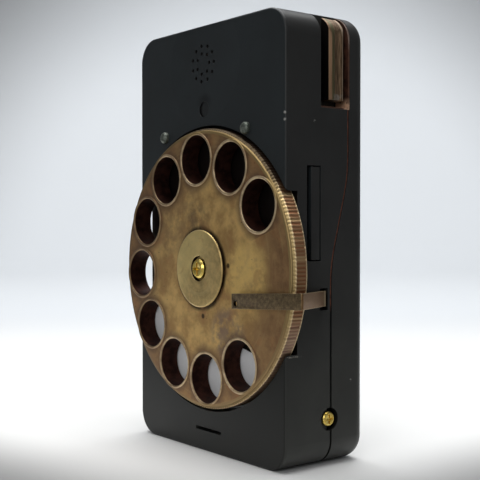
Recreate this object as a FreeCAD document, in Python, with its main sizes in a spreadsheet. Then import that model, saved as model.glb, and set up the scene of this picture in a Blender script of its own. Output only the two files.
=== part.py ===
import FreeCAD
import Part
import Sketcher
import math
import os

# Pocket telephone with a rotary dial, standing on its bottom end.
# Millimetres.  +Z is up, the dial faces -Y, +X is on the right as seen from the front.
# The origin is the centre of the flat bottom end of the case.
# "Depth" is measured from the front face of the case towards the back (+Y).

# ---------------------------------------------------------------------------------------
# Driving dimensions
# ---------------------------------------------------------------------------------------
SIZES = {
    # case
    "case_width": 67.4,
    "chin_height": 11.5,
    "forehead_height": 28.1,
    "case_corner": 7.0,
    "front_edge": 0.7,
    "back_edge": 3.5,
    "wall": 2.0,
    # parting line between the two shells, as depth, and the heights where it changes
    "seam_low_depth": 15.6,
    "seam_high_depth": 21.8,
    "seam_bend_start": 1.4,
    "seam_bend_end": 25.2,
    "seam_blend": 40.0,
    "seam_gap": 0.7,
    "gasket_recess": 0.35,
    "gasket_width": 1.5,
    # dial
    "dial_radius": 38.8,
    "dial_thickness": 4.8,
    "dial_proud": 1.9,
    "dial_chamfer": 0.6,
    "rim_band_thickness": 0.7,
    "rim_bevel_depth": 1.9,
    "finger_hole_radius": 6.8,
    "finger_edge": 1.6,
    "finger_hole_count": 10,
    "finger_first_angle": 34.5,
    "finger_pitch": 30.0,
    "rim_ring_width": 0.8,
    "rim_ring_height": 0.25,
    "rim_collar_height": 0.55,
    "knurl_count": 240,
    "knurl_depth": 0.35,
    # recess in the case for the dial
    "recess_gap": 0.8,
    "recess_wall": 2.0,
    # dial hub
    "cap_radius": 10.8,
    "cap_rise": 0.9,
    "cap_edge": 0.6,
    "cap_spigot_radius": 5.9,
    "cap_spigot_depth": 1.2,
    "cap_well_radius": 3.5,
    "cap_web": 0.9,
    "hub_screw_head_radius": 2.7,
    "hub_screw_radius": 1.45,
    "hub_screw_proud": 0.5,
    "hub_screw_length": 6.0,
    "hub_thread_spare": 0.5,
    # dial shaft and its bearings
    "shaft_radius": 3.0,
    "shaft_seat_radius": 3.95,
    "shaft_flange_radius": 6.5,
    "shaft_flange_thickness": 0.45,
    "shaft_tail": 1.6,
    "end_float": 0.08,
    "running_gap": 0.04,
    "seat_gap": 0.05,
    "bush_radius": 5.0,
    "bush_flange_thickness": 0.4,
    "bush_tail": 0.4,
    "washer_thickness": 0.12,
    "washer_inset": 0.3,
    "clip_radius": 4.6,
    "clip_thickness": 0.5,
    "clip_groove_radius": 2.5,
    # return train
    "gear_module": 0.5,
    "gear_teeth": 60,
    "pinion_teeth": 20,
    "tooth_backlash": 0.14,
    "gear_clearance": 1.05,
    "gear_width": 2.0,
    "gear_hub_radius": 5.0,
    "lug_circle_radius": 13.2,
    "lug_radius": 1.0,
    "lug_height": 1.2,
    "spring_clearance": 0.8,
    "spring_width": 1.8,
    "spring_inner_radius": 5.0,
    "spring_outer_radius": 10.4,
    "spring_turns": 4.0,
    "spring_thickness": 0.35,
    "collar_radius": 4.8,
    "collar_overhang": 0.3,
    "spring_post_radius": 0.7,
    "pulse_clearance": 1.4,
    "pulse_disc_thickness": 0.8,
    "pulse_disc_radius": 9.0,
    "pulse_slot_depth": 2.2,
    "pulse_slot_width": 2.4,
    "pulse_hub_length": 0.8,
    "fork_width": 4.4,
    "fork_reach": 3.5,
    "fork_overlap": 1.8,
    "fork_arm": 0.9,
    "fork_gap": 0.4,
    "dial_travel": 308.0,
    "stop_block_angle": 90.0,
    "stop_block_gap": 0.3,
    # governor
    "governor_angle": 210.0,
    "spindle_radius": 0.75,
    "spindle_foot_cover": 0.8,
    "spindle_end_gap": 0.1,
    "spindle_tail": 0.6,
    "rotor_clearance": 1.0,
    "governor_height": 2.6,
    "governor_radius": 7.0,
    "rotor_hub_radius": 2.9,
    "rotor_hub_length": 0.8,
    "rotor_bar_width": 5.0,
    "cup_gap": 0.4,
    "cup_wall": 1.0,
    "cup_overhang": 0.5,
    # mechanism plate
    "plate_clearance": 1.6,
    "plate_thickness": 1.2,
    "plate_margin": 1.8,
    "plate_right": 22.0,
    "plate_top": 16.5,
    "plate_bottom": 22.5,
    "post_radius": 2.4,
    "post_edge": 1.0,
    "low_post_inset": 9.0,
    "pilot_land": 1.0,
    "machine_screw_radius": 0.8,
    "machine_head_radius": 1.6,
    "machine_head_height": 0.9,
    "machine_screw_length": 5.0,
    "pilot_gap": 0.1,
    # finger stop
    "stop_thickness": 0.9,
    "stop_face_gap": 0.6,
    "stop_tip_reach": 16.2,
    "stop_rim_gap": 0.7,
    "stop_bend_radius": 0.5,
    "stop_exit": 1.0,
    "stop_foot_inset": 9.1,
    "stop_foot_step": 3.6,
    "stop_tip_low": -10.0,
    "stop_tip_high": -6.0,
    "stop_root_low": -8.3,
    "stop_root_high": -4.3,
    "stop_boss_inset": 6.1,
    "stop_slot_gap": 0.2,
    "stop_slot_room": 1.6,
    "stop_screw_spare": 0.7,
    "dimple_radius": 0.8,
    "dimple_inset": 1.6,
    "dimple_rise": 1.5,
    # plate under the lower finger holes
    "number_plate_thickness": 0.2,
    "number_plate_edge_gap": 0.6,
    "number_plate_drop": 19.0,
    "number_plate_tilt": 12.0,
    # features on the upper front
    "upper_offset": -1.2,
    "ear_drop": 10.6,
    "ear_offset": -0.8,
    "ear_hole_radius": 0.55,
    "ear_outer_circle": 5.0,
    "ear_outer_count": 11,
    "ear_inner_circle": 2.9,
    "ear_inner_count": 7,
    "dish_radius": 16.3,
    "dish_depth": 0.35,
    "receiver_radius": 7.4,
    "receiver_height": 3.2,
    "receiver_gasket": 0.4,
    "gasket_margin": 1.0,
    "magnet_height": 1.3,
    "sensor_lift": 4.7,
    "sensor_radius": 2.2,
    "sensor_recess": 0.8,
    "sensor_chip": 3.2,
    "sensor_chip_height": 1.2,
    "peg_spread": 19.0,
    "peg_drop": 2.0,
    "peg_radius": 1.7,
    "peg_rise": 1.5,
    "peg_shank_radius": 1.0,
    "peg_tail": 1.0,
    # microphone
    "mic_offset": 0.8,
    "mic_height": 6.1,
    "mic_slot_length": 11.8,
    "mic_slot_width": 0.9,
    "mic_body": 6.0,
    "mic_body_height": 4.8,
    "mic_gasket": 0.5,
    "mic_frame": 0.8,
    "mic_thickness": 1.5,
    # volume rocker on the right side
    "rocker_front_depth": 8.8,
    "rocker_back_depth": 11.7,
    "rocker_front_gap": 1.6,
    "rocker_gap": 0.3,
    "rocker_lift": 15.1,
    "rocker_length": 24.0,
    "rocker_sink": 0.1,
    "rocker_skin": 1.6,
    "rocker_pin_radius": 0.75,
    "rocker_pin_inset": 3.4,
    "rocker_lug_reach": 1.4,
    "rocker_lug_gap": 0.4,
    "rocker_lug_height": 3.6,
    "rocker_pad_spacing": 9.0,
    "rocker_pad_radius": 0.8,
    "rocker_pad_inset": 3.8,
    "bracket_wall": 1.2,
    "bracket_base": 0.8,
    "bracket_height": 6.0,
    "key_board_inset": 7.7,
    "key_board_thickness": 1.0,
    "key_board_length": 27.0,
    "key_board_gap": 0.6,
    "key_board_step": 1.2,
    "rib_thickness": 1.2,
    "rib_width": 2.0,
    "rib_inset": 1.5,
    "switch_body": 3.4,
    "switch_height": 1.6,
    "plunger_radius": 0.7,
    "plunger_height": 0.6,
    "plunger_gap": 0.3,
    # sprung key in the notch at the upper right
    "notch_seam_gap": 0.6,
    "notch_width": 10.4,
    "notch_length": 25.2,
    "notch_sink": 5.1,
    "notch_wall": 1.4,
    "liner_thickness": 0.4,
    "liner_sink": 0.15,
    "key_front_gap": 3.7,
    "key_back_gap": 1.5,
    "key_foot_gap": 1.9,
    "key_sink": 0.4,
    "key_floor_gap": 1.1,
    "key_travel": 0.8,
    "key_ridge": 0.7,
    "key_stem_radius": 0.9,
    "key_stem_gap": 0.08,
    "key_stem_head_radius": 1.7,
    "key_stem_head_thickness": 0.5,
    "key_stem_head_gap": 0.3,
    "key_drop": 12.8,
    # side screws
    "side_screw_step": 0.4,
    "side_screw_height": 12.5,
    "side_screw_head_radius": 1.95,
    "side_screw_radius": 1.0,
    "side_screw_length": 5.5,
    "side_screw_sink": 0.1,
    "side_counterbore_radius": 3.0,
    "side_counterbore_depth": 1.1,
    "side_boss_radius": 3.2,
    "side_boss_length": 6.0,
    # electronics
    "board_step": 0.8,
    "board_thickness": 1.2,
    "board_side_gap": 5.7,
    "board_notch_gap": 0.8,
    "board_lift": 0.6,
    "board_drop": 6.2,
    "board_post_radius": 2.2,
    "board_post_inset": 3.2,
    "shield_width": 24.0,
    "shield_gap": 4.0,
    "shield_rise": 2.2,
    "shield_inset": 9.0,
    "shield_drop": 3.6,
    "sim_width": 15.0,
    "sim_height": 13.5,
    "sim_rise": 1.5,
    "sim_inset": 11.0,
    "sim_lift": 4.3,
    "plug_width": 7.0,
    "plug_height": 4.5,
    "plug_rise": 2.6,
    "plug_inset": 13.4,
    "plug_lift": 3.8,
    "battery_gap": 1.7,
    "battery_thickness": 6.0,
    "battery_side_gap": 6.7,
    "battery_bottom": 15.0,
    "battery_height": 48.0,
    "foam_thickness": 0.5,
    "foam_inset": 4.0,
    "port_width": 9.0,
    "port_height": 3.2,
    "port_inset": 10.1,
    "port_length": 7.4,
    "port_gap": 0.15,
    "port_sink": 0.3,
    "port_wall": 0.3,
    "tongue_width": 6.4,
    "tongue_thickness": 0.7,
    "tongue_sink": 0.8,
    "charge_board_width": 24.0,
    "charge_board_thickness": 1.0,
    "charge_board_gap": 1.5,
    # antenna under the top wall, motor behind the recess floor
    "antenna_side_gap": 9.7,
    "antenna_notch_gap": 5.2,
    "antenna_depth": 7.0,
    "antenna_thickness": 6.8,
    "antenna_height": 3.5,
    "motor_radius": 4.0,
    "motor_thickness": 2.8,
    "motor_offset": 20.0,
    "motor_height": 20.0,
}

DOC = FreeCAD.newDocument("rotary_phone")
SHEET = DOC.addObject("Spreadsheet::Sheet", "Sizes")
for row, (alias, value) in enumerate(SIZES.items(), start=1):
    SHEET.set(f"A{row}", alias)
    SHEET.set(f"B{row}", str(value))
    SHEET.setAlias(f"B{row}", alias)
DOC.recompute()


# ---------------------------------------------------------------------------------------
# A size that knows both its number and its spreadsheet expression
# ---------------------------------------------------------------------------------------
class Size:
    def __init__(self, number, text):
        self.number = number
        self.text = text

    def __add__(self, other):
        other = as_size(other)
        return Size(self.number + other.number, f"({self.text} + {other.text})")

    def __radd__(self, other):
        return as_size(other) + self

    def __sub__(self, other):
        other = as_size(other)
        return Size(self.number - other.number, f"({self.text} - {other.text})")

    def __rsub__(self, other):
        return as_size(other) - self

    def __mul__(self, other):
        other = as_size(other)
        return Size(self.number * other.number, f"({self.text} * {other.text})")

    def __rmul__(self, other):
        return as_size(other) * self

    def __truediv__(self, other):
        other = as_size(other)
        return Size(self.number / other.number, f"({self.text} / {other.text})")

    def __neg__(self):
        return Size(-self.number, f"(0 - {self.text})")


def as_size(value):
    if isinstance(value, Size):
        return value
    return Size(float(value), f"({value})")


class SizeTable:
    def __getattr__(self, alias):
        return Size(float(SHEET.get(alias)), f"Sizes.{alias}")

    def count(self, alias):
        return round(float(SHEET.get(alias)))


s = SizeTable()


def cosine(angle):
    angle = as_size(angle)
    return Size(math.cos(math.radians(angle.number)), f"cos({angle.text} * 1 deg)")


def sine(angle):
    angle = as_size(angle)
    return Size(math.sin(math.radians(angle.number)), f"sin({angle.text} * 1 deg)")


def bind(item, path, value):
    item.setExpression(path, as_size(value).text)


# ---------------------------------------------------------------------------------------
# Placed primitives and booleans
# ---------------------------------------------------------------------------------------
TURNS = {
    "+z": FreeCAD.Rotation(),
    "+y": FreeCAD.Rotation(FreeCAD.Vector(1, 0, 0), -90),
    "-y": FreeCAD.Rotation(FreeCAD.Vector(1, 0, 0), 90),
    "+x": FreeCAD.Rotation(FreeCAD.Vector(0, 1, 0), 90),
    "-x": FreeCAD.Rotation(FreeCAD.Vector(0, 1, 0), -90),
}


def place(item, x, y, z, axis="+z"):
    """Put the item's own origin at x, y, z, with its own Z along the named axis."""
    spot = [as_size(value) for value in (x, y, z)]
    centre = FreeCAD.Vector(spot[0].number, spot[1].number, spot[2].number)
    item.Placement = FreeCAD.Placement(centre, TURNS[axis])
    for name, value in zip("xyz", spot):
        bind(item, f"Placement.Base.{name}", value)
    return item


def box(name, x_range, y_range, z_range):
    item = DOC.addObject("Part::Box", name)
    low = [as_size(pair[0]) for pair in (x_range, y_range, z_range)]
    high = [as_size(pair[1]) for pair in (x_range, y_range, z_range)]
    for prop, start, end in zip(("Length", "Width", "Height"), low, high):
        bind(item, prop, end - start)
    return place(item, low[0], low[1], low[2])


def cylinder(name, radius, length, x, y, z, axis="+y"):
    item = DOC.addObject("Part::Cylinder", name)
    bind(item, "Radius", radius)
    bind(item, "Height", length)
    return place(item, x, y, z, axis)


def fuse(name, *items):
    item = DOC.addObject("Part::MultiFuse", name)
    item.Shapes = list(items)
    item.Refine = True
    return item


def cut(name, base, *tools):
    item = DOC.addObject("Part::Cut", name)
    item.Base = base
    item.Tool = tools[0] if len(tools) == 1 else fuse(name + "_tools", *tools)
    item.Refine = True
    return item


def common(name, *items):
    item = DOC.addObject("Part::MultiCommon", name)
    item.Shapes = list(items)
    item.Refine = True
    return item


def group(name, *items):
    item = DOC.addObject("Part::Compound", name)
    item.Links = list(items)
    return item


# ---------------------------------------------------------------------------------------
# Sketches and PartDesign bodies
# ---------------------------------------------------------------------------------------
def new_body(name):
    body = DOC.addObject("PartDesign::Body", name)
    body.Label = name
    return body


def origin_feature(body, role):
    for item in body.Origin.OriginFeatures:
        if item.Role == role:
            return item
    raise ValueError(role)


def new_sketch(body, name, role="XY_Plane", offset=0):
    sketch = body.newObject("Sketcher::SketchObject", name)
    sketch.AttachmentSupport = [(origin_feature(body, role), "")]
    sketch.MapMode = "FlatFace"
    bind(sketch, "AttachmentOffset.Base.z", offset)
    return sketch


def pin_point(sketch, geometry, point, u, v):
    for kind, value in (("DistanceX", u), ("DistanceY", v)):
        value = as_size(value)
        rule = Sketcher.Constraint(kind, -1, 1, geometry, point, value.number)
        index = sketch.addConstraint(rule)
        bind(sketch, f"Constraints[{index}]", value)


def draw_polygon(sketch, points):
    points = [(as_size(u), as_size(v)) for u, v in points]
    corners = [FreeCAD.Vector(u.number, v.number, 0) for u, v in points]
    first = sketch.GeometryCount
    total = len(points)
    for index in range(total):
        line = Part.LineSegment(corners[index], corners[(index + 1) % total])
        sketch.addGeometry(line, False)
    for index in range(total):
        following = first + (index + 1) % total
        sketch.addConstraint(Sketcher.Constraint("Coincident", first + index, 2, following, 1))
    for index, (u, v) in enumerate(points):
        pin_point(sketch, first + index, 1, u, v)


def draw_circle(sketch, u, v, radius):
    u, v, radius = as_size(u), as_size(v), as_size(radius)
    centre = FreeCAD.Vector(u.number, v.number, 0)
    circle = Part.Circle(centre, FreeCAD.Vector(0, 0, 1), radius.number)
    index = sketch.addGeometry(circle, False)
    pin_point(sketch, index, 3, u, v)
    rule = sketch.addConstraint(Sketcher.Constraint("Radius", index, radius.number))
    bind(sketch, f"Constraints[{rule}]", radius)


def pad(body, name, sketch, length, reverse=False):
    feature = body.newObject("PartDesign::Pad", name)
    feature.Profile = sketch
    bind(feature, "Length", length)
    feature.Reversed = reverse
    return feature


def pocket(body, name, sketch, length, reverse=False):
    """Cut a sketch into the body and make sure that it really removes material."""
    DOC.recompute()
    before = body.Shape.Volume
    feature = body.newObject("PartDesign::Pocket", name)
    feature.Profile = sketch
    bind(feature, "Length", length)
    feature.Reversed = reverse
    DOC.recompute()
    if body.Shape.Volume >= before:
        raise RuntimeError(f"{name} cuts nothing")
    return feature


def fillet(body, name, base, radius, chooser):
    """Round the edges of a feature that the chooser accepts."""
    DOC.recompute()
    edges = [f"Edge{number}" for number, edge in enumerate(base.Shape.Edges, start=1)
             if chooser(edge)]
    feature = body.newObject("PartDesign::Fillet", name)
    feature.Base = (base, edges)
    bind(feature, "Radius", radius)
    return feature


def turned(name, profile, x, y, z, axis):
    """A turned piece: profile holds (radius, position along the axis) pairs."""
    body = new_body(name)
    sketch = new_sketch(body, name + "_profile", "XZ_Plane")
    draw_polygon(sketch, profile)
    feature = body.newObject("PartDesign::Revolution", name + "_turn")
    feature.Profile = sketch
    feature.ReferenceAxis = (sketch, ["V_Axis"])
    feature.Angle = 360.0
    place(body, x, y, z, axis)
    return body


def shaped(name, shape, x, y, z, axis):
    item = DOC.addObject("Part::Feature", name)
    item.Shape = shape
    return place(item, x, y, z, axis)


# The cross recess of a screw, as shares of its head
CROSS_REACH = 0.62
CROSS_HALF_WIDTH = 0.13
CROSS_DEPTH = 0.55


def screw(name, head_radius, head_height, radius, length, x, y, z, axis):
    """A round-headed cross-recess screw; its seat is at x, y, z and its head points along axis."""
    chamfer = head_height / 3
    profile = [
        (0, -length),
        (radius, -length),
        (radius, 0),
        (head_radius, 0),
        (head_radius, head_height - chamfer),
        (head_radius - chamfer, head_height),
        (0, head_height),
    ]
    body = turned(name, profile, x, y, z, axis)
    arm = head_radius * CROSS_REACH
    half = head_radius * CROSS_HALF_WIDTH
    sketch = new_sketch(body, name + "_cross", "XY_Plane", head_height)
    cross = [
        (half, half), (arm, half), (arm, -half), (half, -half), (half, -arm), (-half, -arm),
        (-half, -half), (-arm, -half), (-arm, half), (-half, half), (-half, arm), (half, arm),
    ]
    draw_polygon(sketch, cross)
    pocket(body, name + "_recess", sketch, head_height * CROSS_DEPTH)
    return body


# ---------------------------------------------------------------------------------------
# Shared levels
# ---------------------------------------------------------------------------------------
# How far a tool runs past the case, how far one runs past the faces of a wall,
# and how far two pieces that are fused sink into each other
BEYOND = 5.0
THROUGH = 1.0
JOIN = 0.1


# Depths of the dial and of the train behind it, one standing on the other
RECESS_DEPTH = (s.dial_thickness - s.dial_proud + s.shaft_flange_thickness + s.washer_thickness
                + s.end_float + s.bush_flange_thickness)
SPINDLE_FOOT_DEPTH = RECESS_DEPTH + s.spindle_foot_cover
GEAR_DEPTH = RECESS_DEPTH + s.recess_wall + s.gear_clearance
SPRING_DEPTH = GEAR_DEPTH + s.gear_width + s.spring_clearance
ROTOR_DEPTH = GEAR_DEPTH + s.gear_width + s.lug_height + s.rotor_clearance
PULSE_DEPTH = SPRING_DEPTH + s.spring_width + s.pulse_clearance
PLATE_DEPTH = PULSE_DEPTH + s.pulse_disc_thickness + s.plate_clearance
SHAFT_END_DEPTH = PLATE_DEPTH + s.plate_thickness + s.shaft_tail
BOARD_DEPTH = PLATE_DEPTH - s.board_step
KEY_BOARD_BACK_DEPTH = BOARD_DEPTH - s.key_board_step
CASE_DEPTH = SHAFT_END_DEPTH + s.battery_gap + s.battery_thickness + s.foam_thickness + s.wall
PORT_DEPTH = CASE_DEPTH - s.port_inset
FRONT = -CASE_DEPTH / 2
BACK = CASE_DEPTH / 2
SIDE = s.case_width / 2


def depth(value):
    return FRONT + value


# The dial, its recess and the train
RECESS_RADIUS = s.dial_radius + s.recess_gap
DIAL_Z = s.chin_height + RECESS_RADIUS
CASE_HEIGHT = DIAL_Z + RECESS_RADIUS + s.forehead_height
FINGER_CIRCLE = s.dial_radius - s.finger_edge - s.finger_hole_radius
DIAL_FRONT = depth(-s.dial_proud)
DIAL_BACK = DIAL_FRONT + s.dial_thickness
FLOOR_FRONT = depth(RECESS_DEPTH)
FLOOR_BACK = FLOOR_FRONT + s.recess_wall
PILOT_START = FLOOR_BACK + s.pilot_land
PLATE_FRONT = depth(PLATE_DEPTH)
PLATE_BACK = PLATE_FRONT + s.plate_thickness
PILOT_RADIUS = s.machine_screw_radius + s.pilot_gap
GEAR_DISTANCE = (s.gear_teeth + s.pinion_teeth) * s.gear_module / 2
GOVERNOR_X = GEAR_DISTANCE * cosine(s.governor_angle)
GOVERNOR_Z = DIAL_Z + GEAR_DISTANCE * sine(s.governor_angle)
CUP_RADIUS = s.governor_radius + s.cup_gap
PLATE_LEFT = -GOVERNOR_X + CUP_RADIUS + s.cup_wall + s.plate_margin
POST_INSET = s.post_radius + s.post_edge
MECHANISM_POSTS = [
    (-PLATE_LEFT + POST_INSET, DIAL_Z + s.plate_top - POST_INSET),
    (s.plate_right - POST_INSET, DIAL_Z + s.plate_top - POST_INSET),
    (s.plate_right - POST_INSET - s.low_post_inset, DIAL_Z - s.plate_bottom + POST_INSET),
]

# Upper front
UPPER_X = s.upper_offset
EAR_X = UPPER_X + s.ear_offset
EAR_Z = CASE_HEIGHT - s.ear_drop
SENSOR_Z = DIAL_Z + RECESS_RADIUS + s.sensor_lift
PEG_PLACES = [UPPER_X - s.peg_spread, UPPER_X + s.peg_spread]
PEG_Z = DIAL_Z + RECESS_RADIUS - s.peg_drop

# Parting line, finger stop, side screws and side controls
SEAM_BEND_LOW = DIAL_Z + s.seam_bend_start
SEAM_BEND_HIGH = DIAL_Z + s.seam_bend_end
SIDE_SCREW_DEPTH = s.seam_low_depth - s.side_screw_step
STOP_FOOT_DEPTH = s.seam_low_depth - s.stop_foot_step
STOP_FOOT_X = SIDE - s.stop_foot_inset
STOP_BOSS_X = SIDE - s.stop_boss_inset
STOP_BOSS_Z = DIAL_Z + (s.stop_root_low + s.stop_root_high) / 2
ROCKER_FACE = SIDE - s.rocker_sink
ROCKER_PIN_X = SIDE - s.rocker_pin_inset
ROCKER_PAD_X = SIDE - s.rocker_pad_inset
ROCKER_MIDDLE = DIAL_Z + s.rocker_lift
KEY_BOARD_X = SIDE - s.key_board_inset
NOTCH_BACK_DEPTH = s.seam_high_depth + s.notch_seam_gap
NOTCH_FRONT_DEPTH = NOTCH_BACK_DEPTH - s.notch_width
NOTCH_BOTTOM = CASE_HEIGHT - s.notch_length
NOTCH_FLOOR = SIDE - s.notch_sink
KEY_FRONT_DEPTH = NOTCH_FRONT_DEPTH + s.key_front_gap
KEY_BACK_DEPTH = NOTCH_BACK_DEPTH - s.key_back_gap
KEY_DEPTH_MIDDLE = (KEY_FRONT_DEPTH + KEY_BACK_DEPTH) / 2
KEY_INNER = NOTCH_FLOOR + s.key_floor_gap
KEY_MIDDLE = CASE_HEIGHT - s.key_drop

# Electronics
BOARD_LEFT = SIDE - s.board_side_gap
BOARD_RIGHT = NOTCH_FLOOR - s.notch_wall - s.board_notch_gap
BOARD_BOTTOM = DIAL_Z + s.plate_top + s.board_lift
BOARD_TOP = CASE_HEIGHT - s.board_drop
BOARD_POSTS = [
    (x, z)
    for x in (-BOARD_LEFT + s.board_post_inset, BOARD_RIGHT - s.board_post_inset)
    for z in (BOARD_BOTTOM + s.board_post_inset, BOARD_TOP - s.board_post_inset)
]
ANTENNA_LEFT = SIDE - s.antenna_side_gap
ANTENNA_RIGHT = NOTCH_FLOOR - s.notch_wall - s.antenna_notch_gap


# ---------------------------------------------------------------------------------------
# Case
# ---------------------------------------------------------------------------------------
def along_y(edge):
    ends = [vertex.Point for vertex in edge.Vertexes]
    return len(ends) == 2 and abs(ends[0].y - ends[1].y) > 0.2 and abs(ends[0].x - ends[1].x) < 0.01


def at_depth(level):
    return lambda edge: all(abs(v.Point.y - level.number) < 0.01 for v in edge.Vertexes)


def front_prism(name, points, y_back, length):
    """Extrude an outline given as (x, z) from y_back towards the front."""
    body = new_body(name)
    sketch = new_sketch(body, name + "_outline", "XZ_Plane", -y_back)
    draw_polygon(sketch, points)
    pad(body, name + "_pad", sketch, length)
    return body


def case_solid(name, inset, y_front=FRONT, y_back=BACK, front_radius=None, back_radius=None):
    """The outline of the case, moved in by an inset, between two depths."""
    left = -SIDE + inset
    right = SIDE - inset
    low = as_size(inset)
    high = CASE_HEIGHT - inset
    outline = [(left, low), (right, low), (right, high), (left, high)]
    body = front_prism(name, outline, y_back, y_back - y_front)
    corner = s.case_corner - inset
    tip = fillet(body, name + "_corners", body.Tip, corner, along_y)
    if front_radius is not None:
        tip = fillet(body, name + "_front", tip, front_radius, at_depth(y_front))
    if back_radius is not None:
        tip = fillet(body, name + "_back", tip, back_radius, at_depth(y_back))
    return body


def parting_block(name, shift):
    """Everything behind the parting line, with the line moved back by a shift."""
    low = depth(s.seam_low_depth) + shift
    high = depth(s.seam_high_depth) + shift
    top = CASE_HEIGHT + BEYOND
    far = BACK + BEYOND
    body = new_body(name)
    sketch = new_sketch(body, name + "_outline", "YZ_Plane", -SIDE - BEYOND)
    outline = [
        (low, -BEYOND), (far, -BEYOND), (far, top), (high, top), (high, SEAM_BEND_HIGH),
        (low, SEAM_BEND_LOW),
    ]
    draw_polygon(sketch, outline)
    block = pad(body, name + "_pad", sketch, 2 * (SIDE + BEYOND))

    def at_bend(edge):
        heights = (SEAM_BEND_LOW.number, SEAM_BEND_HIGH.number)
        return any(all(abs(v.Point.z - level) < 0.01 and v.Point.y < far.number - 0.01
                       for v in edge.Vertexes) for level in heights)

    fillet(body, name + "_blend", block, s.seam_blend, at_bend)
    return body


def side_screw_tools(name):
    """Counterbore and clearance hole for the two side screws, through both side walls."""
    tools = []
    for side, axis in ((1, "+x"), (-1, "-x")):
        seat = side * (SIDE - s.side_counterbore_depth)
        y = depth(SIDE_SCREW_DEPTH)
        z = s.side_screw_height
        tag = f"{name}_{'right' if side > 0 else 'left'}"
        tools.append(cylinder(tag + "_well", s.side_counterbore_radius, BEYOND, seat, y, z, axis))
        start = side * (SIDE - s.side_boss_length)
        hole = s.side_screw_radius + s.pilot_gap
        tools.append(cylinder(tag + "_hole", hole, s.side_boss_length, start, y, z, axis))
    return tools


def ear_holes():
    tools = []
    rings = (
        ("outer", s.ear_outer_circle, s.count("ear_outer_count")),
        ("inner", s.ear_inner_circle, s.count("ear_inner_count")),
    )
    for ring, radius, count in rings:
        for index in range(count):
            angle = 360.0 / count * index
            x = EAR_X + radius * cosine(angle)
            z = EAR_Z + radius * sine(angle)
            name = f"ear_{ring}_{index}"
            tools.append(cylinder(name, s.ear_hole_radius, s.wall + 2 * THROUGH, x,
                                  FRONT - THROUGH, z))
    return tools


def ear_dish():
    """A wide, very shallow spherical dish around the ear holes."""
    radius = (s.dish_radius * s.dish_radius + s.dish_depth * s.dish_depth) / (2 * s.dish_depth)
    ball = DOC.addObject("Part::Sphere", "ear_dish")
    bind(ball, "Radius", radius)
    return place(ball, UPPER_X, depth(s.dish_depth) - radius, EAR_Z, "+z")


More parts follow.
